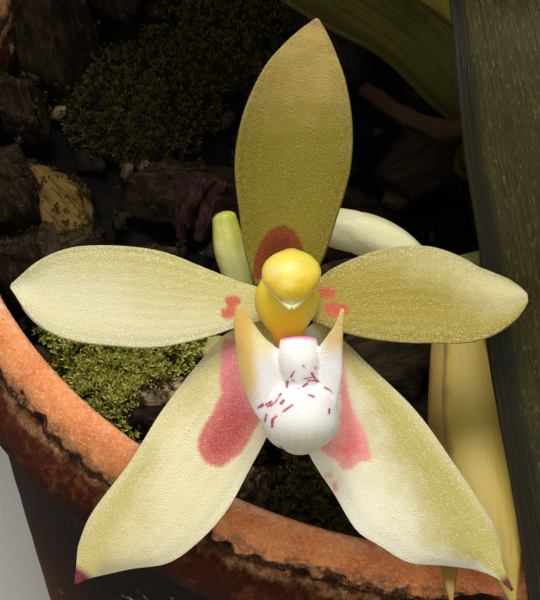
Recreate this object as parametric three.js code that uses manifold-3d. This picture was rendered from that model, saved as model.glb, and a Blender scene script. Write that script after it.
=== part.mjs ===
// A brachypeza orchid in flower, growing in a clay pot of bark and moss. Millimetres, +Z up.
// The origin is the centre of the pot's foot, on the surface that the pot stands on.

import * as THREE from "three";
import Module from "manifold-3d";
import { mergeVertices } from "three/addons/utils/BufferGeometryUtils.js";

const wasm = await Module();
wasm.setup();

// Driving dimensions: the pot

const potHeight = 84;
const rimInnerRadius = 46;
const rimOuterRadius = 50.8;
const footRadius = 37;
const footThickness = 6;
const drainHoleRadius = 6;
const wallThickness = 4.3;
const pieceGap = 0.35;

// Driving dimensions: what fills the pot

const mediumLevel = 71;
const chipCount = 46;
const chipLength = 11.5;
const chipThickness = 3.4;
const mossHeight = 3.4;

// Driving dimensions: the plant

const stemRadius = 3.9;
const stemTopRadius = 3.0;
const leafThickness = 1.3;
const tepalThickness = 0.62;
const ovaryRadius = 1.3;

// The main flower: where its centre is, and how far above the horizon it looks, towards -Y

const flowerCentre = new THREE.Vector3(-18, -37.6, 104.1);
const flowerTilt = THREE.MathUtils.degToRad(50);

const clay = new THREE.MeshStandardMaterial({ color: 0xc8764a, roughness: 0.9, metalness: 0 });
const bark = new THREE.MeshStandardMaterial({ color: 0x5a4630, roughness: 0.95, metalness: 0 });
const moss = new THREE.MeshStandardMaterial({ color: 0x5f6b24, roughness: 1, metalness: 0 });
const leafGreen = new THREE.MeshStandardMaterial({ color: 0x3c4220, roughness: 0.6, metalness: 0 });
const rootGrey = new THREE.MeshStandardMaterial({ color: 0x8c8f78, roughness: 0.85, metalness: 0 });
const driedSheath = new THREE.MeshStandardMaterial({ color: 0x8a5a30, roughness: 0.9, metalness: 0 });
const spikeGreen = new THREE.MeshStandardMaterial({ color: 0x7d8440, roughness: 0.6, metalness: 0 });
const paleGreen = new THREE.MeshStandardMaterial({ color: 0xdcd9a0, roughness: 0.5, metalness: 0 });
const tepalCream = new THREE.MeshStandardMaterial({ color: 0xe2dca8, roughness: 0.5, metalness: 0 });
const fadingCream = new THREE.MeshStandardMaterial({ color: 0xc0b080, roughness: 0.6, metalness: 0 });
const columnYellow = new THREE.MeshStandardMaterial({ color: 0xe6c428, roughness: 0.4, metalness: 0 });
const capYellow = new THREE.MeshStandardMaterial({ color: 0xf2e052, roughness: 0.35, metalness: 0 });
const lipWhite = new THREE.MeshStandardMaterial({ color: 0xf4f3ee, roughness: 0.4, metalness: 0 });
const withered = new THREE.MeshStandardMaterial({ color: 0x7a5048, roughness: 0.95, metalness: 0 });

// Small tools: points, stations and seeded chance

const vec = (x, y, z) => new THREE.Vector3(x, y, z);

const seededChance = (seed) => () => {
  seed = (seed + 0x6d2b79f5) | 0;
  let mixed = Math.imul(seed ^ (seed >>> 15), 1 | seed);
  mixed = (mixed + Math.imul(mixed ^ (mixed >>> 7), 61 | mixed)) ^ mixed;
  return ((mixed ^ (mixed >>> 14)) >>> 0) / 4294967296;
};

// A smooth curve of values through [place, value] stations
const stationValue = (stations, place) => {
  const last = stations.length - 1;
  const slopeAt = (k) => {
    const before = stations[Math.max(k - 1, 0)];
    const after = stations[Math.min(k + 1, last)];
    return (after[1] - before[1]) / (after[0] - before[0]);
  };
  let k = 0;
  while (k < last - 1 && place > stations[k + 1][0]) k += 1;
  const [start, startValue] = stations[k];
  const [end, endValue] = stations[k + 1];
  const span = end - start;
  const u = THREE.MathUtils.clamp((place - start) / span, 0, 1);
  const startWeight = 2 * u ** 3 - 3 * u ** 2 + 1;
  const bend = (u ** 3 - 2 * u ** 2 + u) * slopeAt(k) + (u ** 3 - u ** 2) * slopeAt(k + 1);
  return startWeight * startValue + (1 - startWeight) * endValue + span * bend;
};

const through = (stations) => (place) => stationValue(stations, place);

const curveThrough = (points) => new THREE.CatmullRomCurve3(points, false, "centripetal");

// A point of the main flower: across to the right, up, and out towards whoever looks into it
const onFlower = (across, up, out) => vec(
  flowerCentre.x + across,
  flowerCentre.y + up * Math.sin(flowerTilt) - out * Math.cos(flowerTilt),
  flowerCentre.z + up * Math.cos(flowerTilt) + out * Math.sin(flowerTilt),
);

// Closed skins

const meshFrom = (points, faces) => {
  const geometry = new THREE.BufferGeometry();
  geometry.setAttribute("position", new THREE.Float32BufferAttribute(points.flatMap((p) => p.toArray()), 3));
  geometry.setIndex(faces.flat());
  return geometry;
};

// A thin sheet with two faces and a rim. place(along, across) gives its middle surface, with along
// from 0 to 1 and across from -1 to 1. Both faces are split into triangles alike.
const sheet = (place, alongSteps, acrossSteps, thickness) => {
  const faceUp = [];
  const faceDown = [];
  const rowLength = acrossSteps + 1;
  const nudge = 0.01;
  for (let i = 0; i <= alongSteps; i += 1) {
    for (let j = 0; j <= acrossSteps; j += 1) {
      const along = i / alongSteps;
      const across = (2 * j) / acrossSteps - 1;
      const point = place(along, across);
      const alongStart = Math.min(along, 1 - nudge);
      const forward = place(alongStart + nudge, across).sub(place(alongStart, across));
      const acrossStart = Math.min(across, 1 - nudge);
      const sideways = place(along, acrossStart + nudge).sub(place(along, acrossStart));
      const normal = forward.cross(sideways).normalize().multiplyScalar(thickness / 2);
      faceUp.push(point.clone().add(normal));
      faceDown.push(point.clone().sub(normal));
    }
  }
  const under = faceUp.length;
  const faces = [];
  const wall = (a, b) => faces.push([a, a + under, b + under], [a, b + under, b]);
  for (let i = 0; i < alongSteps; i += 1) {
    for (let j = 0; j < acrossSteps; j += 1) {
      const a = i * rowLength + j;
      const b = a + rowLength;
      faces.push([a, b, b + 1], [a, b + 1, a + 1]);
      faces.push([a + under, b + 1 + under, b + under], [a + under, a + 1 + under, b + 1 + under]);
    }
    wall(i * rowLength, (i + 1) * rowLength);
    wall((i + 2) * rowLength - 1, (i + 1) * rowLength - 1);
  }
  for (let j = 0; j < acrossSteps; j += 1) {
    wall(j + 1, j);
    wall(alongSteps * rowLength + j, alongSteps * rowLength + j + 1);
  }
  return meshFrom([...faceUp, ...faceDown], faces);
};

// A round stem, root or pod along a curve, its half-widths given by widthAt(along) and depthAt(along).
// The width lies along the side direction, and both ends close in a point a little further out.
const rod = (curve, steps, sides, widthAt, depthAt = widthAt, side = vec(1, 0, 0), endBulge = 0.5) => {
  const points = [];
  const faces = [];
  for (let i = 0; i <= steps; i += 1) {
    const along = i / steps;
    const centre = curve.getPointAt(along);
    const forward = curve.getTangentAt(along);
    const depth = forward.clone().cross(side).normalize();
    const width = depth.clone().cross(forward).normalize();
    for (let j = 0; j < sides; j += 1) {
      const angle = (2 * Math.PI * j) / sides;
      points.push(centre.clone()
        .addScaledVector(width, Math.cos(angle) * widthAt(along))
        .addScaledVector(depth, Math.sin(angle) * depthAt(along)));
    }
  }
  const startPoint = points.length;
  points.push(curve.getPointAt(0).addScaledVector(curve.getTangentAt(0), -endBulge * depthAt(0)));
  points.push(curve.getPointAt(1).addScaledVector(curve.getTangentAt(1), endBulge * depthAt(1)));
  for (let j = 0; j < sides; j += 1) {
    const next = (j + 1) % sides;
    for (let i = 0; i < steps; i += 1) {
      const a = i * sides;
      const b = a + sides;
      faces.push([a + j, a + next, b + next], [a + j, b + next, b + j]);
    }
    faces.push([startPoint, next, j]);
    faces.push([startPoint + 1, steps * sides + j, steps * sides + next]);
  }
  return meshFrom(points, faces);
};

// Joining and cutting of closed skins

const toSolid = (geometry) => {
  geometry.deleteAttribute("normal");
  geometry.deleteAttribute("uv");
  const merged = mergeVertices(geometry, 1e-4);
  const vertProperties = new Float32Array(merged.attributes.position.array);
  const triVerts = new Uint32Array(merged.index.array);
  return new wasm.Manifold(new wasm.Mesh({ numProp: 3, vertProperties, triVerts }));
};

// The largest body of a joined solid, without the inner hollows and scraps that joining leaves
const fromSolid = (solid) => {
  const [body] = solid.decompose().sort((a, b) => b.volume() - a.volume());
  const result = body.getMesh();
  const geometry = new THREE.BufferGeometry();
  geometry.setAttribute("position", new THREE.BufferAttribute(new Float32Array(result.vertProperties), 3));
  geometry.setIndex(new THREE.BufferAttribute(new Uint32Array(result.triVerts), 1));
  return geometry;
};

const fuse = (geometries) => geometries.map(toSolid).reduce((whole, piece) => whole.add(piece));

const plant = new THREE.Group();

const addPart = (name, geometry, material) => {
  geometry.computeVertexNormals();
  const mesh = new THREE.Mesh(geometry, material);
  mesh.name = name;
  plant.add(mesh);
};

// The pot: a revolved wall with a rounded rim, a worn groove under it and one drain hole

const collarDepth = 14;
const rimRoll = { shoulderDrop: 1.2, grooveDrop: 3.7, bandDrop: 5.2, bandEnd: 9.2, stepDrop: 10.6 };

const wallOuterRadius = (height) => footRadius + (rimOuterRadius - 2.2 - footRadius) * (height / potHeight);
const wallInnerRadius = (height) => Math.min(rimInnerRadius, wallOuterRadius(height) - wallThickness + 1.4);

const potGeometry = () => {
  const stepHeight = potHeight - rimRoll.stepDrop;
  const insideFoot = wallInnerRadius(footThickness) - 3;
  const section = [
    [drainHoleRadius, 0],
    [footRadius - 1, 0],
    [footRadius, 1.2],
    [wallOuterRadius(stepHeight), stepHeight],
    [rimOuterRadius - 0.5, potHeight - rimRoll.bandEnd],
    [rimOuterRadius, potHeight - rimRoll.bandEnd + 1.4],
    [rimOuterRadius - 0.4, potHeight - rimRoll.bandDrop],
    [rimOuterRadius - 1.9, potHeight - rimRoll.grooveDrop],
    [rimOuterRadius - 1.8, potHeight - rimRoll.grooveDrop + 1],
    [rimOuterRadius - 2.4, potHeight - rimRoll.shoulderDrop],
    [rimOuterRadius - 3.5, potHeight - 0.2],
    [rimInnerRadius + 0.4, potHeight],
    [rimInnerRadius, potHeight - 0.6],
    [wallInnerRadius(potHeight - collarDepth), potHeight - collarDepth],
    [wallInnerRadius(footThickness + 4), footThickness + 4],
    [insideFoot, footThickness],
    [drainHoleRadius, footThickness],
    [drainHoleRadius, 0],
  ];
  const turned = new THREE.LatheGeometry(section.map(([r, z]) => new THREE.Vector2(r, z)), 48);
  turned.rotateX(Math.PI / 2);
  const position = turned.attributes.position;
  const grooveFloor = potHeight - rimRoll.bandDrop - 0.1;
  const grooveTop = potHeight - rimRoll.shoulderDrop + 0.1;
  for (let i = 0; i < position.count; i += 1) {
    const x = position.getX(i);
    const y = position.getY(i);
    const z = position.getZ(i);
    const radius = Math.hypot(x, y);
    if (radius > rimInnerRadius + 2 && z > grooveFloor && z < grooveTop) {
      const angle = Math.atan2(y, x);
      const worn = 0.25 * Math.sin(5 * angle + z) + 0.2 * Math.sin(11 * angle + 2 * z);
      position.setX(i, x * (1 + worn / radius));
      position.setY(i, y * (1 + worn / radius));
      position.setZ(i, z + 0.2 * Math.sin(8 * angle + radius));
    }
  }
  return fromSolid(toSolid(turned));
};

// The stem with its aerial roots

const stemFoot = 47;
const stemTop = 116;
const nodeRing = 0.22;
const nodeSpacing = 6.5;
const stemCurve = curveThrough([
  vec(3, -2, stemFoot),
  vec(3, -2, 70),
  vec(2.8, -1.2, 90),
  vec(2.0, 0, 103),
  vec(1.4, 0.6, stemTop),
]);
const stemHeightToAlong = (height) => (height - stemFoot) / (stemTop - stemFoot);
const stemRadiusAt = (height) =>
  THREE.MathUtils.lerp(stemRadius, stemTopRadius, stemHeightToAlong(height)) + nodeRing;
const stemPoint = (height) => stemCurve.getPointAt(THREE.MathUtils.clamp(stemHeightToAlong(height), 0, 1));

const rootRuns = [
  [vec(3, -2, 70), vec(9, -8, 74), vec(19, -16, 77.5), vec(26.5, -25, 76.5), vec(31, -27.5, 66)],
  [vec(3, -2, 73), vec(8, 8, 78.5), vec(11, 19, 78.5), vec(6, 29, 77), vec(2, 33, 64)],
  [vec(3, -2, 71), vec(11, 4, 75), vec(22, 8, 77.5), vec(32, 11, 76), vec(36, 12, 66)],
  [vec(3, -2, 70), vec(2.6, -10, 74.6), vec(6, -22, 78), vec(4, -33, 76), vec(0, -36, 66)],
];
const rootRadius = 1.25;
const rootSwelling = (along) => rootRadius * (1 - 0.25 * along ** 3);

const stemGeometry = () => {
  const ringed = (along) => {
    const rings = nodeRing * Math.sin((along * (stemTop - stemFoot) * 2 * Math.PI) / nodeSpacing);
    return THREE.MathUtils.lerp(stemRadius, stemTopRadius, along) + (along > 0.4 ? rings : 0);
  };
  const stem = rod(stemCurve, 20, 10, ringed);
  const roots = rootRuns.map((run) => rod(curveThrough(run), 10, 6, rootSwelling));
  return fromSolid(fuse([stem, ...roots]));
};

// The filling: bark chips on a bed, with plain holes where the stem, roots and peduncle stand

const peduncleCurve = curveThrough([
  vec(-0.2, -6.4, 73.4),
  vec(-4.2, -12.8, 79.6),
  vec(-11, -21, 87),
  onFlower(1, 0, -15),
  onFlower(-0.6, -2, -14.2),
  onFlower(-2.6, -4.4, -13),
  onFlower(-4.4, -6.6, -12.2),
]);
const peduncleRadius = (along) => 1.15 - 0.45 * along;

const mossBeds = {
  moss_left: [[-31.5, -15, 6.5], [-32.6, -20.6, 4.6], [-37, -10, 4]],
  moss_front: [[-15, -33, 5.5], [-7, -36, 5], [-11.5, -38, 3.8]],
  moss_back: [[-31, 13, 7], [-24, 21, 6.5], [-17, 29, 6]],
};

const mossGeometry = (bed, spare) => {
  const cushions = bed.map(([x, y, radius]) => {
    const outline = [];
    const rings = 3;
    outline.push(new THREE.Vector2(0, 0));
    for (let i = 0; i <= rings; i += 1) {
      const turn = (i / rings) * (Math.PI / 2);
      const reach = i === rings ? 0 : (radius + spare) * Math.cos(turn);
      const height = ((mossHeight * radius) / 8 + 2 * spare) * Math.sin(turn);
      outline.push(new THREE.Vector2(reach, height));
    }
    const cushion = new THREE.LatheGeometry(outline, 10);
    cushion.rotateX(Math.PI / 2);
    cushion.translate(x, y, mediumLevel + pieceGap - spare);
    return cushion;
  });
  return fuse(cushions);
};

// Larger pieces of bark that show between the flowers, each at [x, y, height above the bed, size]
const bigChunks = [
  [-38.6, -0.4, 5.0, 8], [-39.4, -6.0, 3.6, 7], [-27.8, -21.4, 2.6, 5.5], [-21, -31.5, 2.4, 4.5],
  [-9.6, -19.6, 2.6, 8], [-12.6, -8.6, 3.2, 7],
];

// Slabs that lean on the pot's wall at the back left, each at an angle round the pot
const leaningSlabs = [118, 131, 144, 156, 168, 181, 194];
const slabLength = 15;
const slabRingRadius = 42;

// The open place round the stem, where the leaves start
const clearingRadius = 8.2;
const clearingHeight = 12;

const chipGeometry = (chance, size) => {
  const corners = 5;
  const length = size * (0.6 + 0.7 * chance());
  const width = length * (0.5 + 0.25 * chance());
  const thickness = chipThickness * (0.7 + 0.7 * chance());
  const points = [];
  for (const level of [-0.5, 0.5]) {
    const shrink = level > 0 ? 0.86 : 1;
    for (let k = 0; k < corners; k += 1) {
      const angle = (2 * Math.PI * (k + 0.35 * chance())) / corners;
      points.push(vec(
        (length / 2) * Math.cos(angle) * shrink,
        (width / 2) * Math.sin(angle) * shrink,
        level * thickness + 0.25 * thickness * (chance() - 0.5),
      ));
    }
  }
  points.push(vec(0, 0, -0.55 * thickness), vec(0.1 * length, 0, 0.6 * thickness));
  const faces = [];
  for (let k = 0; k < corners; k += 1) {
    const next = (k + 1) % corners;
    faces.push([k, next, corners + next], [k, corners + next, corners + k]);
    faces.push([2 * corners, next, k], [2 * corners + 1, corners + k, corners + next]);
  }
  return meshFrom(points, faces);
};

const mediumGeometry = () => {
  const chance = seededChance(7);
  const outerRadius = (height) => wallInnerRadius(height) - pieceGap;
  const bedFloor = footThickness + pieceGap;
  const plug = (top) => {
    const section = [
      [0, bedFloor],
      [outerRadius(bedFloor) - 3, bedFloor],
      [outerRadius(footThickness + 4.5), footThickness + 4.5],
      [outerRadius(potHeight - collarDepth) - 0.1, potHeight - collarDepth],
      [outerRadius(top) - 0.1, top],
      [0, top],
    ];
    const turned = new THREE.LatheGeometry(section.map(([r, z]) => new THREE.Vector2(r, z)), 28);
    return toSolid(turned.rotateX(Math.PI / 2));
  };
  const goldenAngle = Math.PI * (3 - Math.sqrt(5));
  const beds = Object.values(mossBeds).flat();
  const chips = [];
  for (let k = 0; k < chipCount; k += 1) {
    const radius = (rimInnerRadius - 3) * Math.sqrt((k + 0.7) / chipCount);
    const angle = k * goldenAngle;
    const x = radius * Math.cos(angle) + 1.5 * (chance() - 0.5);
    const y = radius * Math.sin(angle) + 1.5 * (chance() - 0.5);
    const chip = chipGeometry(chance, chipLength);
    chip.rotateX((chance() - 0.5) * 0.9);
    chip.rotateY((chance() - 0.5) * 0.7);
    chip.rotateZ(chance() * Math.PI);
    chip.translate(x, y, mediumLevel + 0.4 + 2.2 * chance());
    const onMoss = beds.some(([mx, my, mr]) => Math.hypot(x - mx, y - my) < mr - 1);
    if (!onMoss) chips.push(chip);
  }
  for (const [x, y, rise, size] of bigChunks) {
    const chunk = chipGeometry(chance, size * 1.2);
    chunk.rotateX(0.5).rotateZ(x);
    chips.push(chunk.translate(x, y, mediumLevel + rise / 2));
  }
  for (const turn of leaningSlabs) {
    const angle = THREE.MathUtils.degToRad(turn);
    const slab = chipGeometry(chance, slabLength);
    slab.rotateY(-1.15 - 0.2 * chance()).rotateZ(angle);
    slab.translate(slabRingRadius * Math.cos(angle), slabRingRadius * Math.sin(angle), mediumLevel + 5);
    chips.push(slab);
  }
  const roomInside = plug(potHeight);
  let medium = fuse(chips).intersect(roomInside).add(plug(mediumLevel));
  const stemHole = rod(stemCurve, 8, 12, () => stemRadius + nodeRing + pieceGap);
  const rootHoles = rootRuns.map((run) => rod(curveThrough(run), 10, 6, () => rootRadius + pieceGap + 0.1));
  const peduncleHole = rod(peduncleCurve, 14, 6, () => peduncleRadius(0) + pieceGap + 0.1);
  const clearing = new THREE.CylinderGeometry(clearingRadius, clearingRadius - 1, clearingHeight, 14);
  clearing.rotateX(Math.PI / 2);
  clearing.translate(3, -2, mediumLevel + clearingHeight / 2 + 0.2);
  medium = medium.subtract(fuse([stemHole, ...rootHoles, peduncleHole])).subtract(toSolid(clearing));
  for (const bed of Object.values(mossBeds)) {
    medium = medium.subtract(mossGeometry(bed, pieceGap));
  }
  return fromSolid(medium);
};

// Leaves: straps that clasp the stem, open out and arch over

const leaves = {
  leaf_right: {
    base: 101, azimuth: -82, width: 35,
    spine: [[6.6, -0.3, 8], [11.5, 0.2, 10.6], [21, 2.6, 6.3], [31.5, 5.7, -3], [45, 8.0, -11.2],
      [60, 8.7, -20.5], [76, 8.2, -33], [90, 7.4, -46], [100, 6.7, -58]],
  },
  leaf_upper: {
    base: 79, azimuth: 120, width: 34,
    spine: [[7.4, 0.5, 6], [12, 1, 9.6], [20, 3, 12], [35, 4, 14.5], [53, 0, 12.5], [71, -7, 5],
      [88, -16, -6], [102, -26, -19]],
  },
  leaf_low_right: {
    base: 76, azimuth: -22, width: 32,
    spine: [[8, -0.5, 7], [17, -1.5, 13.5], [30, -1.5, 16.5], [44, 1.5, 13], [57, 6, 3], [67, 11, -13]],
  },
  leaf_left_back: {
    base: 91, azimuth: 142, width: 28,
    spine: [[7.5, 0.5, 8], [15, 1.5, 17], [31, 1, 23], [51, -1, 19], [72, -2, 6], [89, -3, -12]],
  },
  leaf_young: {
    base: 107, azimuth: 40, width: 19,
    spine: [[5.2, 0, 8], [8.5, 0, 22], [16, 0, 34], [28, 0, 41], [41, 0, 40]],
  },
};

const leafWidths = [[0, 0.36], [0.06, 0.42], [0.16, 0.72], [0.3, 0.93], [0.5, 1], [0.72, 0.98], [0.88, 0.78],
  [0.96, 0.45], [1, 0.06]];
const leafClasp = [[0, 1.0], [0.05, 0.8], [0.12, 0.58], [0.25, 0.42], [0.5, 0.28], [1, 0.18]];

const leafPlace = ({ base, azimuth, width, spine }) => {
  const turn = THREE.MathUtils.degToRad(azimuth);
  const outward = vec(Math.cos(turn), Math.sin(turn), 0);
  const sideways = vec(-outward.y, outward.x, 0);
  const foot = stemPoint(base);
  const seat = stemRadiusAt(base) + pieceGap + leafThickness / 2;
  const spineAt = ([out, aside, rise]) => foot.clone()
    .addScaledVector(outward, out).addScaledVector(sideways, aside).add(vec(0, 0, rise));
  const curve = curveThrough([[seat, 0, 0], [seat + 0.7, 0, 3.5], ...spine].map(spineAt));
  return (along, across) => {
    const centre = curve.getPointAt(along);
    const forward = curve.getTangentAt(along);
    const side = forward.clone().cross(vec(0, 0, 1)).add(sideways.clone().multiplyScalar(-0.02)).normalize();
    const upper = side.clone().cross(forward).normalize();
    const bend = stationValue(leafClasp, along);
    const halfArc = (width / 2) * stationValue(leafWidths, along);
    const radius = halfArc / bend;
    const fullness = Math.min(1, 4 * along, 7 * (1 - along));
    const wave = 0.5 * Math.sin(9 * along + 2 * across) * across ** 2 * fullness;
    return centre
      .addScaledVector(side, radius * Math.sin(across * bend))
      .addScaledVector(upper, radius * (1 - Math.cos(across * bend)) + wave);
  };
};

// Dried sheaths of fallen leaves, open rings of paper round the stem

const sheaths = {
  old_sheath_front: { base: 78, azimuth: -138, height: 8.5 },
  old_sheath_low: { base: 72.4, azimuth: 165, height: 5 },
};

const sheathPlace = ({ base, azimuth, height }) => (along, across) => {
  const middle = THREE.MathUtils.degToRad(azimuth);
  const foot = stemPoint(base + height * along);
  const angle = middle + across * (0.5 - 0.25 * along);
  const radius = stemRadiusAt(base) + pieceGap + tepalThickness / 2 + 1.6 * along ** 2;
  return foot.add(vec(radius * Math.cos(angle), radius * Math.sin(angle), 0));
};

const oldStalkCurve = curveThrough([
  vec(-1.8, -4.1, 88.8),
  vec(-4.6, -5.9, 89.6),
  vec(-8.2, -5.4, 91),
  vec(-11.5, -3.6, 92.4),
]);

// The flower spike: peduncle and rachis with bracts and closed buds, in one piece

const spikeGeometry = () => {
  const stalk = rod(peduncleCurve, 18, 7, peduncleRadius);
  const bract = (along, turn) => {
    const centre = peduncleCurve.getPointAt(along);
    const forward = peduncleCurve.getTangentAt(along);
    const out = vec(Math.cos(turn), Math.sin(turn), 0).cross(forward).normalize();
    const tip = centre.clone().addScaledVector(forward, 3.2).addScaledVector(out, 2.1);
    const middle = centre.clone().addScaledVector(forward, 1.6).addScaledVector(out, 1.3);
    const halfWidth = (t) => 1.1 * (1 - 0.85 * t);
    const halfDepth = (t) => 0.55 * (1 - 0.5 * t);
    return rod(curveThrough([centre, middle, tip]), 3, 6, halfWidth, halfDepth);
  };
  const bud = (points, radius) => {
    const swelling = [[0, 0.45], [0.4, 0.5], [0.6, 0.9], [0.8, 1], [0.95, 0.6], [1, 0.3]];
    return rod(curveThrough(points), 7, 7, (t) => radius * stationValue(swelling, t));
  };
  const bracts = [[0.22, 1], [0.42, 3.6], [0.6, 0.4], [0.93, 2.2]].map(([along, turn]) => bract(along, turn));
  const buds = [
    bud([onFlower(-2.6, -4.4, -13), onFlower(-4.2, -3.6, -13.8), onFlower(-6.6, -3.4, -12.6)], 1.35),
    bud([onFlower(-3.6, -5.6, -12.6), onFlower(-3.4, -7.2, -13.6), onFlower(-2.6, -9.2, -13)], 1.2),
    bud([onFlower(-4.4, -6.6, -12.2), onFlower(-5.4, -7.6, -12), onFlower(-6.8, -8.8, -11.2)], 1.0),
  ];
  return fromSolid(fuse([stalk, ...bracts, ...buds]));
};

// Ovaries with their pedicels, each along points of the main flower: across, up, out

const ovaries = {
  main_ovary: {
    points: [[0.5, 0.6, -13.2], [0.5, 0.7, -9], [0.2, 0.3, -4.5], [0, 0, -1.4]],
    widths: [[0, 0.6], [0.4, 0.75], [0.7, 1], [1, 0.95]],
  },
  fading_ovary: {
    points: [[2.0, 2.0, -15.9], [1.2, 4.4, -14], [2.4, 6.5, -12.6], [5.2, 6.3, -12], [8.4, 5.1, -12],
      [10.7, 3.5, -12]],
    widths: [[0, 0.55], [0.3, 0.75], [0.5, 1.25], [0.75, 1.35], [1, 1.0]],
  },
  spent_ovary: {
    points: [[-1.9, -0.9, -13.2], [-3.3, 1, -12.6], [-4.4, 4, -12.1], [-5.1, 7.4, -12]],
    widths: [[0, 0.5], [0.35, 0.75], [0.7, 1.0], [1, 0.8]],
  },
};

// Tepals of the main flower, in its own plane: a spine from base to tip, half-widths to either side of
// it, how far the spine rises towards whoever looks into the flower, and how the blade cups across it.
// Where a blade is narrower than the full cup width, it cups less.

const fullCupWidth = 3;

const tepalPlace = ({ spine, left, right, rise, cup }) => {
  const curve = curveThrough(spine.map(([x, y]) => vec(x, y, 0)));
  return (along, across) => {
    const centre = curve.getPointAt(along);
    const forward = curve.getTangentAt(along);
    const half = stationValue(across < 0 ? left : right, along) * across;
    const width = stationValue(left, along) + stationValue(right, along);
    const fullness = Math.min(1, width / fullCupWidth) ** 2;
    const x = centre.x + forward.y * half;
    const y = centre.y - forward.x * half;
    return onFlower(x, y, rise(along) + fullness * cup(along, across));
  };
};

const bothSides = (half) => ({ left: half, right: half });

const tepals = {
  dorsal_sepal: {
    spine: [[-0.6, 1.75], [-0.15, 6], [0.4, 11.7], [1.2, 17.5], [2.26, 22.6]],
    ...bothSides([[0, 1.9], [0.12, 3.0], [0.27, 3.75], [0.41, 4.35], [0.5, 4.47], [0.63, 4.2], [0.78, 3.28],
      [0.87, 2.3], [0.95, 1.1], [1, 0.12]]),
    rise: (s) => -2.2 + 4.4 * s ** 1.6,
    cup: (s, q) => 1.5 * q * q * Math.sin(Math.PI * Math.min(1, 0.12 + s)) ** 0.7,
  },
  petal_left: {
    spine: [[-1.75, 0.45], [-6.9, 0.55], [-13.1, 1.1], [-17.9, 1.4], [-21.6, 1.87]],
    ...bothSides([[0, 1.2], [0.09, 1.68], [0.25, 2.8], [0.41, 3.7], [0.55, 3.9], [0.73, 3.7],
      [0.82, 3.2], [0.89, 2.4], [0.95, 1.25], [1, 0.15]]),
    rise: (s) => -0.9 + 1.6 * s,
    cup: (s, q) => 0.7 * q * q * s - 0.5 * Math.sin(2.6 * s) * q,
  },
  petal_right: {
    spine: [[1.75, 0.45], [5.6, 0.97], [10.3, 1.2], [14.5, 0.5], [18.7, 0.95]],
    ...bothSides([[0, 1.3], [0.12, 2.45], [0.31, 3.46], [0.5, 3.78], [0.68, 3.3], [0.82, 2.55], [0.92, 1.65],
      [0.97, 0.95], [1, 0.3]]),
    rise: (s) => -0.9 + 1.2 * s,
    cup: (s, q) => -1.6 * Math.max(0, -q) ** 2 * s + 0.5 * Math.max(0, q) ** 2,
  },
  lateral_sepal_left: {
    spine: [[-1.45, -1.15], [-9.1, -11.5], [-16.54, -21.3]],
    left: [[0, 1.2], [0.12, 3.0], [0.25, 4.75], [0.4, 5.46], [0.55, 5.95], [0.68, 5.6], [0.78, 4.7],
      [0.86, 2.7], [0.93, 1.2], [0.97, 0.45], [1, 0.1]],
    right: [[0, 1.0], [0.06, 1.75], [0.12, 2.4], [0.4, 2.73], [0.6, 2.34], [0.8, 2.26], [0.9, 1.56],
      [0.96, 0.7], [1, 0.12]],
    rise: (s) => -2.1 + 2.9 * s ** 1.3,
    cup: (s, q) => -0.9 * Math.max(0, -q) ** 2 * s - 0.5 * Math.max(0, q) ** 2
      + 0.25 * Math.sin(11 * s + 1) * q * q,
  },
  lateral_sepal_right: {
    spine: [[1.75, -1.2], [9.8, -11.6], [17.47, -21.84]],
    left: [[0, 0.8], [0.07, 1.2], [0.2, 1.64], [0.4, 2.38], [0.6, 2.26], [0.8, 1.87], [0.86, 1.4],
      [0.92, 0.6], [1, 0.1]],
    right: [[0, 1.2], [0.1, 3.2], [0.2, 5.0], [0.3, 6.2], [0.45, 6.6], [0.58, 6.9], [0.66, 6.15],
      [0.75, 5.1], [0.82, 3.0], [0.88, 1.4], [0.94, 0.4], [1, 0.1]],
    rise: (s) => -2.1 + 2.9 * s ** 1.3,
    cup: (s, q) => -1.0 * Math.max(0, q) ** 2 * s - 0.4 * Math.max(0, -q) ** 2
      + 0.25 * Math.sin(10 * s + 2) * q * q,
  },
};

// Column, anther cap and lip

const columnGeometry = () => {
  const spine = curveThrough([
    onFlower(0.1, -3.0, 0.2),
    onFlower(0, -1.6, 0.6),
    onFlower(-0.1, 0.2, 1.1),
    onFlower(0.1, 2.4, 1.6),
  ]);
  const widths = [[0, 0.8], [0.25, 1.3], [0.5, 2.2], [0.75, 2.45], [1, 2.0]];
  const depths = [[0, 0.5], [0.25, 0.9], [0.6, 1.7], [0.85, 1.8], [1, 1.3]];
  return rod(spine, 8, 12, through(widths), through(depths), vec(1, 0, 0), 0.35);
};

const capGeometry = () => {
  const spine = curveThrough([
    onFlower(0.25, 4.0, 2.9),
    onFlower(0.25, 3.1, 4.3),
    onFlower(0.25, 1.8, 5.1),
    onFlower(0.25, 0.3, 4.9),
  ]);
  const widths = [[0, 1.0], [0.25, 2.2], [0.5, 2.35], [0.75, 1.6], [1, 0.2]];
  const depths = [[0, 0.9], [0.3, 1.35], [0.6, 1.1], [1, 0.2]];
  return rod(spine, 8, 12, through(widths), through(depths));
};

const fullLobeWidth = 3;

const lobePlace = ({ base, tip, outer, inner, side, rise, curl }) => (along, across) => {
  const x = THREE.MathUtils.lerp(base[0], tip[0], along);
  const y = THREE.MathUtils.lerp(base[1], tip[1], along);
  const half = stationValue(across < 0 ? outer : inner, along) * across;
  const width = stationValue(outer, along) + stationValue(inner, along);
  const fullness = Math.min(1, width / fullLobeWidth) ** 2;
  return onFlower(x + side * half, y, rise(along) + fullness * curl(across));
};

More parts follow.
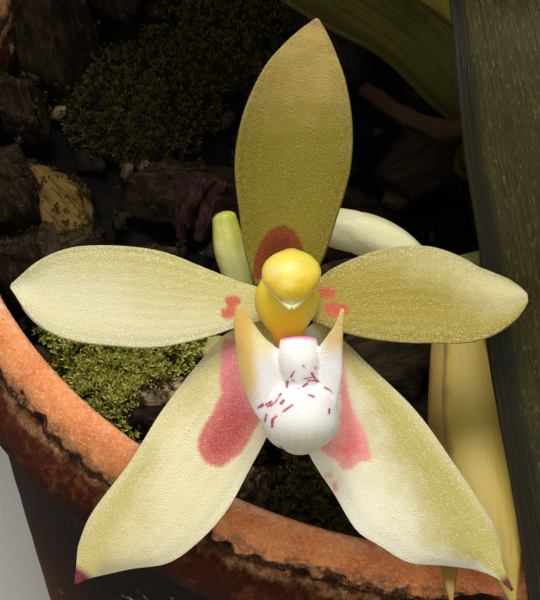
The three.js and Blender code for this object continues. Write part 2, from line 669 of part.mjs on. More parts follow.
const lobes = {
  left: {
    base: [-1.4, -8.4], tip: [-3.75, 0.35], side: 1,
    outer: [[0, 0.7], [0.1, 1.0], [0.39, 1.25], [0.68, 0.95], [0.85, 0.75], [0.94, 0.45], [1, 0.15]],
    inner: [[0, 1.2], [0.15, 1.8], [0.4, 2.3], [0.58, 2.1], [0.7, 1.2], [0.8, 0.75], [0.92, 0.36], [1, 0.15]],
    rise: (s) => 2.9 + 1.9 * s,
    curl: (q) => -1.5 * Math.max(0, q) ** 2 - 0.8 * Math.max(0, -q) ** 2,
  },
  right: {
    base: [3.0, -8.4], tip: [4.2, 0.1], side: -1,
    outer: [[0, 0.6], [0.25, 0.6], [0.4, 0.65], [0.6, 0.42], [0.8, 0.28], [0.94, 0.22], [1, 0.15]],
    inner: [[0, 1.0], [0.2, 1.3], [0.4, 1.5], [0.62, 1.4], [0.72, 1.0], [0.86, 0.38], [0.94, 0.24],
      [1, 0.15]],
    rise: (s) => 2.9 + 1.8 * s,
    curl: (q) => -1.4 * Math.max(0, q) ** 2 - 0.2 * Math.max(0, -q) ** 2,
  },
};

const lipGeometry = () => {
  const sacSpine = curveThrough([
    onFlower(1.3, -6.1, 2.3),
    onFlower(1.1, -7.4, 2.7),
    onFlower(0.95, -9.0, 2.6),
    onFlower(0.95, -10.5, 1.9),
  ]);
  const sacWidths = [[0, 1.9], [0.3, 2.75], [0.6, 3.0], [0.85, 2.4], [1, 1.4]];
  const sacDepths = [[0, 1.5], [0.3, 2.4], [0.6, 2.65], [0.85, 2.0], [1, 1.2]];
  const sac = rod(sacSpine, 7, 14, through(sacWidths), through(sacDepths));
  const tongueSpine = curveThrough([
    onFlower(0.8, -2.3, 3.3),
    onFlower(0.85, -3.8, 3.5),
    onFlower(1.15, -6.4, 3.1),
  ]);
  const tongueWidths = [[0, 1.45], [0.35, 1.6], [0.75, 1.3], [1, 1.2]];
  const tongueDepths = [[0, 0.9], [0.4, 1.25], [1, 0.85]];
  const tongue = rod(tongueSpine, 6, 10, through(tongueWidths), through(tongueDepths), vec(1, 0, 0), 0.3);
  const clawSpine = curveThrough([
    onFlower(0.3, -3.9, -0.2),
    onFlower(0.7, -5.2, 1.0),
    onFlower(1, -7, 2.2),
  ]);
  const claw = rod(clawSpine, 4, 8, () => 1.3, () => 0.9);
  const sides = Object.values(lobes).map((lobe) => sheet(lobePlace(lobe), 9, 4, 0.7));
  return fromSolid(fuse([sac, tongue, claw, ...sides]));
};

// The fading flower behind: five long tepals that hang from a small hub, and its column with the lip

const fadingTepals = [
  {
    width: 2.5,
    spine: [[12.6, 1, -12.2], [14.2, -2.4, -10.8], [14.8, -7.2, -9], [15.4, -12.6, -6], [16.5, -18, -3.8],
      [17.7, -23, -2.6]],
  },
  {
    width: 1.2,
    spine: [[12.4, 1, -12.2], [12.4, -2.4, -11.6], [12.5, -8.8, -9.6], [12.4, -15, -6.4], [12.8, -23, -1]],
  },
  {
    width: 2.2,
    spine: [[12.6, 1, -12.4], [14.6, -2.2, -13.9], [15.9, -8, -14], [16.4, -14, -12.5], [17, -18, -10.5]],
  },
  {
    width: 1.9,
    spine: [[12.7, 1, -12.3], [15.8, -0.6, -12.6], [18.2, -6, -12.9], [19.6, -12, -12], [20, -16, -11]],
  },
  {
    width: 1.7,
    spine: [[12.5, 1, -12.5], [13.2, -1.6, -13.7], [13.7, -8, -13], [13.6, -14, -11.4]],
  },
];
const fadingWidths = [[0, 0.35], [0.12, 0.6], [0.35, 0.95], [0.6, 1], [0.8, 0.75], [0.93, 0.35], [1, 0.1]];

const fadingGeometry = () => {
  const blades = fadingTepals.map(({ spine, width }) => {
    const curve = curveThrough(spine.map(([x, y, out]) => onFlower(x, y, out)));
    return sheet((along, across) => {
      const half = width * stationValue(fadingWidths, along) * across;
      const cup = 0.8 * across * across * Math.min(1, stationValue(fadingWidths, along)) ** 2;
      return curve.getPointAt(along).add(onFlower(half, 0, -cup).sub(flowerCentre));
    }, 9, 4, tepalThickness);
  });
  const hubCurve = curveThrough([
    onFlower(11.9, 2.2, -12.2),
    onFlower(12.6, 0.6, -12.3),
    onFlower(13, -0.6, -12.4),
  ]);
  const hub = rod(hubCurve, 3, 9, () => 1.35);
  return fromSolid(fuse([hub, ...blades]));
};

const fadingLipGeometry = () => {
  const spine = curveThrough([
    onFlower(14.2, -2.8, -12.2),
    onFlower(14.5, -4.8, -11.8),
    onFlower(14.8, -7.2, -11.4),
  ]);
  const widths = [[0, 0.5], [0.3, 0.8], [0.6, 0.6], [0.85, 0.95], [1, 0.5]];
  return rod(spine, 8, 10, through(widths));
};

// The withered perianth of the spent flower: shrivelled straps round a small core

const witheredGeometry = () => {
  const coreCurve = curveThrough([
    onFlower(-5.7, 8.6, -12),
    onFlower(-6.2, 9.4, -12.2),
    onFlower(-6.7, 10.3, -12.6),
  ]);
  const core = rod(coreCurve, 5, 8, (t) => 1.1 - 0.5 * t);
  const strapCount = 5;
  const straps = Array.from({ length: strapCount }, (_, k) => {
    const turn = (2 * Math.PI * k) / strapCount + 0.55;
    const fall = 2.6 + 0.9 * Math.sin(3 * k + 1);
    const spread = curveThrough([
      onFlower(-6.2 + 0.3 * Math.cos(turn), 9.3, -12.2 + 0.3 * Math.sin(turn)),
      onFlower(-6.5 + 1.0 * Math.cos(turn), 10.2, -12.2 + 1.4 * Math.sin(turn)),
      onFlower(-7.2 + 1.2 * Math.cos(turn), 9.2, -12.3 + 2.0 * Math.sin(turn)),
      onFlower(-7.6 + 1.0 * Math.cos(turn + 0.5), 9 - fall, -12.3 + 1.9 * Math.sin(turn + 0.5)),
    ]);
    return rod(spread, 6, 5, (t) => 0.9 - 0.5 * t, (t) => 0.45 - 0.1 * t);
  });
  return fromSolid(fuse([core, ...straps]));
};

// The whole plant in its pot

addPart("pot", potGeometry(), clay);
addPart("potting_bark", mediumGeometry(), bark);
for (const [name, bed] of Object.entries(mossBeds)) {
  addPart(name, fromSolid(mossGeometry(bed, 0)), moss);
}
addPart("stem_and_roots", stemGeometry(), rootGrey);
for (const [name, leaf] of Object.entries(leaves)) {
  addPart(name, sheet(leafPlace(leaf), 16, 6, leafThickness), leafGreen);
}
for (const [name, sheath] of Object.entries(sheaths)) {
  addPart(name, sheet(sheathPlace(sheath), 5, 6, tepalThickness), driedSheath);
}
addPart("old_flower_stalk", rod(oldStalkCurve, 9, 6, (t) => 1.2 - 0.5 * t), driedSheath);
addPart("flower_spike", spikeGeometry(), spikeGreen);
for (const [name, { points, widths }] of Object.entries(ovaries)) {
  const curve = curveThrough(points.map((point) => onFlower(...point)));
  addPart(name, rod(curve, 10, 8, (t) => ovaryRadius * stationValue(widths, t)), paleGreen);
}
for (const [name, tepal] of Object.entries(tepals)) {
  addPart(name, sheet(tepalPlace(tepal), 16, 6, tepalThickness), tepalCream);
}
addPart("column", columnGeometry(), columnYellow);
addPart("anther_cap", capGeometry(), capYellow);
addPart("lip", lipGeometry(), lipWhite);
addPart("fading_tepals", fadingGeometry(), fadingCream);
addPart("fading_column_and_lip", fadingLipGeometry(), fadingCream);
addPart("withered_perianth", witheredGeometry(), withered);

export default plant;
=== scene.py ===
# %% [markdown]
# # A brachypeza orchid in flower, in a clay pot
#
# The solids of this plant are already made and packed: a pot, its filling, the leaves and each piece of
# the flowers. They are plain and a little coarse. This lesson dresses them in Blender. Nearly every solid
# gets a finer piece in the same place and of the same form, and every piece gets a finish wired from
# nodes. The first step loads the solids and keeps the box that they fill, because nothing that is made
# here may be larger than that.

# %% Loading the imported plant
import math

import bmesh
import bpy
import numpy as np
from mathutils import Matrix, Vector, noise


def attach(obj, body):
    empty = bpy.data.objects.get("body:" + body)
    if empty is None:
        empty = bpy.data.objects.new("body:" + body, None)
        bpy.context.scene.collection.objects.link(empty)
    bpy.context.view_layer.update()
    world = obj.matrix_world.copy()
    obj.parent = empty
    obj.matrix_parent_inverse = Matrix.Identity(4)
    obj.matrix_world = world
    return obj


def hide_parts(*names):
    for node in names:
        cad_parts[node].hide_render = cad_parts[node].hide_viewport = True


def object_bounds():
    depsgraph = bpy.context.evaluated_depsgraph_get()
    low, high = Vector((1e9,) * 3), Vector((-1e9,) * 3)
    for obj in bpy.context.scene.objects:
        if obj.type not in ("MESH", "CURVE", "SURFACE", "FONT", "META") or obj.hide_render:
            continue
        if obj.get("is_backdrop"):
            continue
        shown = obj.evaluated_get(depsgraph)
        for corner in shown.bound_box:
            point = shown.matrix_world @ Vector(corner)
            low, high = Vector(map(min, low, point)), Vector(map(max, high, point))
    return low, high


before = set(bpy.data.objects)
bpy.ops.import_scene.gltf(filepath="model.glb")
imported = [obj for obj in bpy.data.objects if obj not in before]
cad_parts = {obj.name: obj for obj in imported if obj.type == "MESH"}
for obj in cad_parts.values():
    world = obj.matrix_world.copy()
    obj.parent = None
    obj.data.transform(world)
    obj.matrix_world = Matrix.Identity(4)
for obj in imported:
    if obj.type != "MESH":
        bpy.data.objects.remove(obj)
solid_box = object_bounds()

print("solids:", len(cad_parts), "box:", [round(v, 4) for corner in solid_box for v in corner])

# %% [markdown]
# ## The camera
#
# A macro photograph is taken from some distance with a long lens, so the camera stands 400 mm from the
# flower and looks 50 degrees down. The lens length follows from how many pixels a millimetre of the
# flower takes up on the 600 pixels of the picture's long side. A camera can be aimed with a constraint,
# but here one turn about X says it all: the view has no roll and no turn to the side.

# %% The photograph's camera
MM = 0.001
LOOK_DOWN = math.radians(50)
VIEW_CENTRE = Vector((-19.4, -37.0, 104.6))
CAMERA_DISTANCE = 400
PIXEL_SIZE = 0.078
PICTURE_LONG_SIDE = 600
SENSOR = 36

view_direction = Vector((0, math.cos(LOOK_DOWN), -math.sin(LOOK_DOWN)))
camera_data = bpy.data.cameras.new("macro_camera")
camera_data.sensor_width = SENSOR
camera_data.lens = SENSOR * CAMERA_DISTANCE / (PIXEL_SIZE * PICTURE_LONG_SIDE)
camera_data.clip_start = 0.01
camera = bpy.data.objects.new("macro_camera", camera_data)
camera.location = (VIEW_CENTRE - view_direction * CAMERA_DISTANCE) * MM
camera.rotation_euler = (math.pi / 2 - LOOK_DOWN, 0, 0)
bpy.context.scene.collection.objects.link(camera)
bpy.context.scene.camera = camera
print("lens:", round(camera_data.lens, 1), "mm, camera at", [round(v, 3) for v in camera.location])

# %% [markdown]
# ## Light and floor
#
# Waxy petals look best under one large soft light above them and a little behind, since it shines through
# the thin tissue. A weaker one in front opens the shadows, and a faint one from the side lifts the leaves.
# Area lights do all three, and a dim even background stands for the room. The floor is one pale sheet,
# marked as stage because it isn't part of the plant.

# %% Soft lights, a pale room and a pale floor
def soft_light(name, place, aim, size, watts, tone):
    """An area light at a place in millimetres, turned towards another place."""
    lamp = bpy.data.lights.new(name, "AREA")
    lamp.size = size * MM
    lamp.energy = watts
    lamp.color = tone
    holder = bpy.data.objects.new(name, lamp)
    holder.location = Vector(place) * MM
    holder.rotation_euler = (Vector(aim) - Vector(place)).to_track_quat("-Z", "Y").to_euler()
    bpy.context.scene.collection.objects.link(holder)


FLOWER_AIM = (-15, -30, 95)
POT_AIM = (0, 0, 70)
WARM_WHITE = (1.0, 0.985, 0.95)
ROOM_COLOUR = (0.95, 0.93, 0.88, 1)
ROOM_STRENGTH = 0.06
soft_light("overhead_softbox", (-60, 60, 620), FLOWER_AIM, 240, 2.8, WARM_WHITE)
soft_light("front_softbox", (-70, -420, 520), FLOWER_AIM, 320, 1.25, WARM_WHITE)
soft_light("side_fill", (520, -60, 260), POT_AIM, 420, 0.35, (1.0, 0.98, 0.95))

room = bpy.data.worlds.new("pale_room")
room.use_nodes = True
background = room.node_tree.nodes["Background"]
background.inputs["Color"].default_value = ROOM_COLOUR
background.inputs["Strength"].default_value = ROOM_STRENGTH
bpy.context.scene.world = room
bpy.context.scene.view_settings.view_transform = "Standard"
print("lights:", len(bpy.data.lights))

# %% [markdown]
# ## A small language for finishes
#
# A finish in Blender is a graph of nodes. Drawn by hand it is easy to follow, but in a script each Math
# node takes four lines. So a socket is wrapped in a small class whose plus, minus and times add the Math
# node and give its result back wrapped. Then `1 - shade * 0.5` reads like arithmetic and builds nodes.
# Colours go through Mix nodes, since a Math node would turn them grey. Most finishes here are painted in
# coats: each coat is a tone and a mask that says where it shows.

# %% Wires: arithmetic on node sockets
class Wire:
    """What comes out of one node. Arithmetic on it adds Math nodes, and the result is a wire again."""

    def __init__(self, finish, socket):
        self.finish = finish
        self.socket = socket

    def math(self, operation, first, second=0.0):
        return self.finish.node("ShaderNodeMath", {"operation": operation}, {0: first, 1: second})

    def __add__(self, other):
        return self.math("ADD", self, other)

    __radd__ = __add__

    def __sub__(self, other):
        return self.math("SUBTRACT", self, other)

    def __rsub__(self, other):
        return self.math("SUBTRACT", other, self)

    def __mul__(self, other):
        return self.math("MULTIPLY", self, other)

    __rmul__ = __mul__

    def __abs__(self):
        return self.math("ABSOLUTE", self)

    def sine(self):
        return self.math("SINE", self)

    def larger(self, other):
        return self.math("MAXIMUM", self, other)

    def step(self, start, end):
        """0 before start, 1 after end, and a smooth rise between them. Start may be the larger one."""
        sockets = {"Value": self, "From Min": start, "From Max": end}
        return self.finish.node("ShaderNodeMapRange", {"interpolation_type": "SMOOTHSTEP"}, sockets)


# %% Finishes: one class that adds any node
class Finish:
    """A material in the making. Values that are the same all over are set on the shader's own sockets."""

    def __init__(self, name, **shader_values):
        self.material = bpy.data.materials.new(name)
        self.material.use_nodes = True
        self.tree = self.material.node_tree
        self.shader = self.tree.nodes["Principled BSDF"]
        for socket, value in shader_values.items():
            self.shader.inputs[socket.replace("_", " ")].default_value = value

    def node(self, kind, settings, sockets, out=0):
        """Adds a node, makes its settings, then gives each socket a value or a wire."""
        made = self.tree.nodes.new(kind)
        for setting, value in settings.items():
            if setting == "stops":
                while len(made.color_ramp.elements) < len(value):
                    made.color_ramp.elements.new(1.0)
                for element, (place, colour) in zip(made.color_ramp.elements, value):
                    element.position = place
                    element.color = colour
            else:
                setattr(made, setting, value)
        for socket, value in sockets.items():
            if isinstance(value, Wire):
                self.tree.links.new(value.socket, made.inputs[socket])
            else:
                made.inputs[socket].default_value = value
        return Wire(self, made.outputs[out])

    def stored(self, name, out="Vector"):
        """What the mesh keeps at each point under a name: a vector, or a number with out='Fac'."""
        return self.node("ShaderNodeAttribute", {"attribute_name": name}, {}, out)

    def place(self):
        """Where the point is in the plant's own frame, in millimetres."""
        here = self.node("ShaderNodeTexCoord", {}, {}, "Object")
        return self.scaled(here, (1 / MM, 1 / MM, 1 / MM))

    def scaled(self, vector, scale):
        return self.node("ShaderNodeVectorMath", {"operation": "MULTIPLY"}, {0: vector, 1: scale})

    def part(self, vector, axis):
        return self.node("ShaderNodeSeparateXYZ", {}, {0: vector}, axis)

    def grain(self, vector, scale, detail, rough=0.5):
        """Soft noise from 0 to 1, scale being how many bumps a millimetre has."""
        sockets = {"Vector": vector, "Scale": scale, "Detail": detail, "Roughness": rough}
        return self.node("ShaderNodeTexNoise", {}, sockets, "Fac")

    def fibres(self, stretch, scale, detail=4.0, rough=0.5):
        """Noise drawn out along the form, in the millimetres that the mesh keeps as its lie."""
        return self.grain(self.scaled(self.stored("lie"), (*stretch, 1.0)), scale, detail, rough)

    def cells(self, vector, scale):
        """How far each point is from the middle of its cell, scale being how many cells a millimetre has."""
        return self.node("ShaderNodeTexVoronoi", {}, {"Vector": vector, "Scale": scale}, "Distance")

    def mix(self, under, over, mask):
        """One colour over another where the mask is 1."""
        return self.node("ShaderNodeMix", {"data_type": "RGBA"}, {0: mask, 6: under, 7: over}, 2)

    def paint(self, colour, *coats):
        """Lays coats over a colour. Each is a tone with its mask, and the last one is on top."""
        for tone, mask in coats:
            colour = self.mix(colour, tone, mask)
        return colour

    def ramp(self, value, stops):
        return self.node("ShaderNodeValToRGB", {"stops": stops}, {0: value}, "Color")

    def feed(self, colour, roughness=None, height=None, height_mm=0.1):
        """Wires the results into the shader. The height, from 0 to 1, becomes relief of so many mm."""
        for socket, wire in (("Base Color", colour), ("Roughness", roughness)):
            if wire is not None:
                self.tree.links.new(wire.socket, self.shader.inputs[socket])
        if height is not None:
            bump = self.node("ShaderNodeBump", {}, {"Distance": height_mm * MM, "Height": height}, "Normal")
            self.tree.links.new(bump.socket, self.shader.inputs["Normal"])
        return self.material


def srgb(red, green, blue):
    """A colour as seen on a screen, from 0 to 255, as the linear colour that a node wants."""
    shares = (red / 255, green / 255, blue / 255)
    return (*[c / 12.92 if c <= 0.04045 else ((c + 0.055) / 1.055) ** 2.4 for c in shares], 1.0)


def tissue(name, weight, reach, **shader_values):
    """A finish for living tissue. Reach is how far red, green and blue light get into it, in millimetres."""
    finish = Finish(name, Subsurface_Weight=weight, Subsurface_Scale=1.0, **shader_values)
    finish.shader.inputs["Subsurface Radius"].default_value = [distance * MM for distance in reach]
    return finish


# %% The floor and its finish
FLOOR_HALF_SIDE = 2.4

floor_paper = Finish("pale_paper", Roughness=0.9)
paper_fibre = floor_paper.grain(floor_paper.place(), 0.05, 4.0)
paper_tone = floor_paper.mix(srgb(214, 212, 206), srgb(224, 222, 217), paper_fibre)
floor_mesh = bpy.data.meshes.new("floor")
corner_ways = [(-1, -1), (1, -1), (1, 1), (-1, 1)]
floor_corners = [(x * FLOOR_HALF_SIDE, y * FLOOR_HALF_SIDE, 0) for x, y in corner_ways]
floor_mesh.from_pydata(floor_corners, [], [(0, 1, 2, 3)])
floor_mesh.materials.append(floor_paper.feed(colour=paper_tone, height=paper_fibre, height_mm=0.2))
floor = bpy.data.objects.new("floor", floor_mesh)
bpy.context.scene.collection.objects.link(floor)
floor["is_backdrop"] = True
print("floor:", FLOOR_HALF_SIDE * 2, "m square")

# %% [markdown]
# ## Curves and skins
#
# Stems, leaves and petals are all a line with something spread along it. A line here runs smoothly
# through a few points and is walked by its length, so that 0.5 is halfway. How wide a petal is at each
# place comes from a few stations with a smooth curve through them. Blender has its own curve objects,
# but with plain arrays every point can also carry what its finish needs: how far along the petal it
# lies, and how far to the side.

# %% Lines through points, and values through stations
def between_stations(stations, place):
    """The smooth curve of values through (place, value) stations."""
    places, values = np.array(stations, float).T
    last = len(places) - 1
    before = np.maximum(np.arange(last + 1) - 1, 0)
    after = np.minimum(np.arange(last + 1) + 1, last)
    slopes = (values[after] - values[before]) / (places[after] - places[before])
    place = np.asarray(place, float)
    k = np.clip(np.searchsorted(places, place, side="left") - 1, 0, last - 1)
    span = places[k + 1] - places[k]
    u = np.clip((place - places[k]) / span, 0, 1)
    start_weight = 2 * u**3 - 3 * u**2 + 1
    bend = (u**3 - 2 * u**2 + u) * slopes[k] + (u**3 - u**2) * slopes[k + 1]
    return start_weight * values[k] + (1 - start_weight) * values[k + 1] + span * bend


LINE_SAMPLES = 600


class Line:
    """A smooth line through points. at(0) is its start, at(1) its end, and heading() its direction."""

    def __init__(self, points):
        knots = np.array(points, float)
        knots = np.vstack([2 * knots[0] - knots[1], knots, 2 * knots[-1] - knots[-2]])
        t = np.linspace(0, len(points) - 1, LINE_SAMPLES)
        k = np.minimum(t.astype(int), len(points) - 2)
        w = (t - k)[:, None]
        p0, p1, p2, p3 = (knots[k + i] for i in range(4))
        gaps = ((p0, p1), (p1, p2), (p2, p3))
        d0, d1, d2 = (np.sqrt(np.linalg.norm(b - a, axis=1))[:, None] for a, b in gaps)
        m1 = ((p1 - p0) / d0 - (p2 - p0) / (d0 + d1) + (p2 - p1) / d1) * d1
        m2 = ((p2 - p1) / d1 - (p3 - p1) / (d1 + d2) + (p3 - p2) / d2) * d1
        bend = (3 * (p2 - p1) - 2 * m1 - m2) * w**2 + (2 * (p1 - p2) + m1 + m2) * w**3
        self.points = p1 + m1 * w + bend
        steps = np.linalg.norm(np.diff(self.points, axis=0), axis=1)
        self.lengths = np.concatenate([[0], np.cumsum(steps)])
        self.length = self.lengths[-1]
        directions = np.gradient(self.points, axis=0)
        self.directions = directions / np.linalg.norm(directions, axis=1, keepdims=True)

    def read(self, table, along):
        along = np.clip(np.asarray(along, float), 0, 1) * self.length
        return np.stack([np.interp(along, self.lengths, table[:, i]) for i in range(3)], axis=-1)

    def at(self, along):
        return self.read(self.points, along)

    def heading(self, along):
        return unit(self.read(self.directions, along))


def unit(vectors):
    return vectors / np.maximum(np.linalg.norm(vectors, axis=-1, keepdims=True), 1e-12)


# %% Skins: points and faces that become one piece
PLANT_BODY = "root"


class Skin:
    """Points in millimetres with faces, and what each point carries for its finish."""

    def __init__(self):
        self.points = np.zeros((0, 3))
        self.faces = []
        self.carried = {}

    def add(self, points, faces, **carried):
        """Adds points and faces. Whatever the points carry is given by name, one row a point."""
        start = len(self.points)
        self.points = np.vstack([self.points, points])
        self.faces.extend((np.asarray(faces) + start).tolist())
        for name, values in carried.items():
            values = np.asarray(values, float)
            if values.ndim < 2:
                values = np.broadcast_to(values.reshape(-1, 1), (len(points), 1))
            known = self.carried.setdefault(name, np.zeros((start, values.shape[1])))
            self.carried[name] = np.vstack([known, values])
        for name, known in self.carried.items():
            missing = len(self.points) - len(known)
            if missing:
                self.carried[name] = np.vstack([known, np.zeros((missing, known.shape[1]))])
        return self

    def add_form(self, form, size, shift=(0, 0, 0), **carried):
        """Adds a rod or a blade. Its lie is carried in millimetres, of this length and girth, and shifted."""
        points, faces, lie = form
        return self.add(points, faces, lie=lie * size + shift, **carried)

    def mesh(self, name):
        made = bpy.data.meshes.new(name)
        made.from_pydata((self.points * MM).tolist(), [], self.faces)
        for carried_name, values in self.carried.items():
            kind, setting = ("FLOAT", "value") if values.shape[1] == 1 else ("FLOAT_VECTOR", "vector")
            layer = made.attributes.new(carried_name, kind, "POINT")
            layer.data.foreach_set(setting, values.astype(np.float32).ravel())
        made.polygons.foreach_set("use_smooth", [True] * len(made.polygons))
        return made

    def piece(self, name, material, slot, stands_for=()):
        """Makes an object in place of the solids it stands for, and lets it ride with the plant."""
        mesh = self.mesh(name)
        mesh.materials.append(material)
        made = bpy.data.objects.new(name, mesh)
        bpy.context.scene.collection.objects.link(made)
        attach(made, PLANT_BODY)
        if stands_for:
            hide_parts(*stands_for)
        print(f"{name}: {len(mesh.vertices)} points, {len(mesh.polygons)} faces")


# %% Blades: two faces and a rounded margin
def blade(place, thickness, along_steps, across_steps, relief=None):
    """A thin sheet round the middle surface place(along, across): points, faces, and how each point lies.

    along runs from 0 to 1 and across from -1 to 1, with its rows closer together at the margins.
    thickness and relief are functions of both, in millimetres. Relief raises the upper face.
    """
    along_line = np.linspace(0, 1, along_steps + 1)
    across_line = np.sin(np.linspace(-1, 1, across_steps + 1) * math.pi / 2)
    along, across = np.meshgrid(along_line, across_line, indexing="ij")
    middle = place(along, across)
    normal = unit(np.cross(np.gradient(middle, axis=1), np.gradient(middle, axis=0)))
    half = (thickness(along, across) / 2)[..., None]
    raised = 0 if relief is None else relief(along, across)[..., None] * normal
    upper_points = (middle + normal * half + raised).reshape(-1, 3)
    lower_points = (middle - normal * half).reshape(-1, 3)
    count = along.size
    index = np.arange(count).reshape(along.shape)
    upper = np.stack([index[:-1, :-1], index[:-1, 1:], index[1:, 1:], index[1:, :-1]], axis=-1).reshape(-1, 4)
    lower = upper[:, ::-1] + count
    border = np.concatenate([index[:-1, 0], index[-1, :-1], index[:0:-1, -1], index[0, :0:-1]])
    following = np.roll(border, -1)
    rim = np.stack([border, following, following + count, border + count], axis=-1)
    lie = np.stack([along, across, np.ones_like(along)], axis=-1).reshape(-1, 3)
    lie = np.concatenate([lie, lie * (1, 1, -1)])
    return np.concatenate([upper_points, lower_points]), np.concatenate([upper, lower, rim]), lie


# %% Rods: round stems, roots, buds and the column
DOME_RINGS = 4
NARROWEST = 1e-3


def rod(line, steps, sides, width, depth=None, end_bulge=0.5, wrinkle=None):
    """A round form along a line, with domed ends. width and depth give half its thickness at each place."""
    depth = depth or width
    dome = np.linspace(0, math.pi / 2, DOME_RINGS + 1)[1:]
    body = np.linspace(0, 1, steps + 1)
    along = np.concatenate([np.zeros(DOME_RINGS), body, np.ones(DOME_RINGS)])
    start_reach = end_bulge * float(depth(0.0))
    end_reach = end_bulge * float(depth(1.0))
    beyond = [-start_reach * np.sin(dome[::-1]), np.zeros(steps + 1), end_reach * np.sin(dome)]
    shrink = [np.cos(dome[::-1]), np.ones(steps + 1), np.cos(dome)]
    shrink = np.maximum(np.concatenate(shrink), NARROWEST)
    heading = line.heading(along)
    centre = line.at(along) + heading * np.concatenate(beyond)[:, None]
    depth_way = unit(np.cross(heading, (1.0, 0.0, 0.0)))
    width_way = unit(np.cross(depth_way, heading))
    turn = np.linspace(0, 2 * math.pi, sides, endpoint=False)
    half_width = np.asarray(width(along) * shrink)[:, None, None]
    half_depth = np.asarray(depth(along) * shrink)[:, None, None]
    outward = (
        width_way[:, None] * half_width * np.cos(turn)[None, :, None]
        + depth_way[:, None] * half_depth * np.sin(turn)[None, :, None]
    )
    if wrinkle is not None:
        outward = outward * wrinkle(along[:, None], turn[None, :])[..., None]
    points = (centre[:, None] + outward).reshape(-1, 3)
    rings = len(along)
    index = np.arange(rings * sides).reshape(rings, sides)
    beside = np.roll(index, -1, axis=1)
    faces = np.stack([index[:-1], beside[:-1], beside[1:], index[1:]], axis=-1).reshape(-1, 4)
    lie = np.stack(np.broadcast_arrays(along[:, None], turn[None, :] / (2 * math.pi), 1.0), axis=-1)
    return points, faces, lie.reshape(-1, 3)


def by_stations(values, size=1.0):
    """A width as a function of the place along a line."""
    return lambda place: size * between_stations(values, place)


def tapered(start, end):
    """A width that changes evenly along a line."""
    return lambda place: start + (end - start) * place


def lathe(section, sides):
    """A closed section of (radius, height) turned about Z."""
    section = np.array(section, float)
    turn = np.linspace(0, 2 * math.pi, sides, endpoint=False)
    radius, height = section[:, 0][:, None], section[:, 1][:, None]
    points = np.stack(np.broadcast_arrays(radius * np.cos(turn), radius * np.sin(turn), height), axis=-1)
    index = np.arange(points[..., 0].size).reshape(points.shape[:2])
    after = np.roll(index, -1, axis=0)
    faces = np.stack([index, np.roll(index, -1, axis=1), np.roll(after, -1, axis=1), after], axis=-1)
    return points.reshape(-1, 3), faces.reshape(-1, 4)


ROUGH_FALLOFF = 0.8
ROUGH_STEP = 2.0


def rough_at(points, scale, octaves, seed):
    """Fractal noise at points in millimetres, about -1 to 1, for shapes that time has worn."""
    shift = Vector((seed, 2 * seed, -seed))
    return np.array([
        noise.fractal(Vector(point) * scale + shift, ROUGH_FALLOFF, ROUGH_STEP, octaves) for point in points
    ])


print("curve and skin tools are ready")

# %% [markdown]
# ## The pot
#
# A clay pot is thrown on a wheel, so its form is a section turned about its axis: a lathe makes it in one
# step. Age does the rest. The outer corner of the rim has crumbled into a rough dark groove with crusts
# along it. The wall below is painted dark as shade, and painted lighter again towards the foot. The
# crumbled groove is real relief, because it breaks the outline of the rim. Pores and stains are left to the
# finish.

# %% The pot's section, as the solid has it
POT_HEIGHT = 84
RIM_INNER = 46
RIM_OUTER = 50.8
RIM_OVERHANG = 2.2
FOOT_RADIUS = 37
FOOT_THICKNESS = 6
DRAIN_RADIUS = 6
WALL = 2.9
STEP_DROP = 10.6
INSIDE_CORNER = 3
RIM_PROFILE = [  # how far in from the rim's outer radius, and how far below its top
    (0.9, 9.6), (0.2, 8.6), (0, 7.4), (0.15, 6.2), (0.7, 5.0), (1.5, 4.1), (1.9, 3.5), (1.75, 2.7),
    (1.9, 1.8), (2.4, 1.0), (3.1, 0.35), (3.8, 0.08),
]


def wall_outer(height):
    return FOOT_RADIUS + (RIM_OUTER - RIM_OVERHANG - FOOT_RADIUS) * (height / POT_HEIGHT)


def wall_inner(height):
    return min(RIM_INNER, wall_outer(height) - WALL)


def finer(section, longest):
    """The same section with extra points, so that no step is longer than asked."""
    made = []
    for (r0, z0), (r1, z1) in zip(section, section[1:]):
        count = max(1, math.ceil(math.hypot(r1 - r0, z1 - z0) / longest))
        made.extend((r0 + (r1 - r0) * i / count, z0 + (z1 - z0) * i / count) for i in range(count))
    return made + [section[-1]]


foot_part = [(DRAIN_RADIUS, 0.0), (FOOT_RADIUS - 1, 0), (FOOT_RADIUS, 1.2)]
side_part = [(wall_outer(z), z) for z in np.linspace(4, POT_HEIGHT - STEP_DROP, 24)]
rim_part = [(RIM_OUTER - inward, POT_HEIGHT - down) for inward, down in RIM_PROFILE]
rim_part += [(RIM_INNER + 0.5, POT_HEIGHT), (RIM_INNER + 0.1, POT_HEIGHT - 0.2)]
rim_part += [(RIM_INNER, POT_HEIGHT - 0.7)]
inner_part = [(wall_inner(z), z) for z in np.linspace(POT_HEIGHT - 3, FOOT_THICKNESS + 4, 14)]
floor_part = [(wall_inner(FOOT_THICKNESS) - INSIDE_CORNER, FOOT_THICKNESS), (DRAIN_RADIUS, FOOT_THICKNESS)]
pot_section = finer(foot_part, 4) + side_part + finer(rim_part, 0.42) + inner_part + floor_part
print("section points:", len(pot_section))

# %% Turning the pot and wearing its rim away
POT_SIDES = 360
GROOVE_DROP, GROOVE_SPREAD = 3.0, 1.5
CHIP_DEPTH, CHIP_LIMIT = 0.95, 1.1
DENT_DEPTH = 0.16
RING_DEPTH, RINGS_PER_MM = 0.08, 1.6

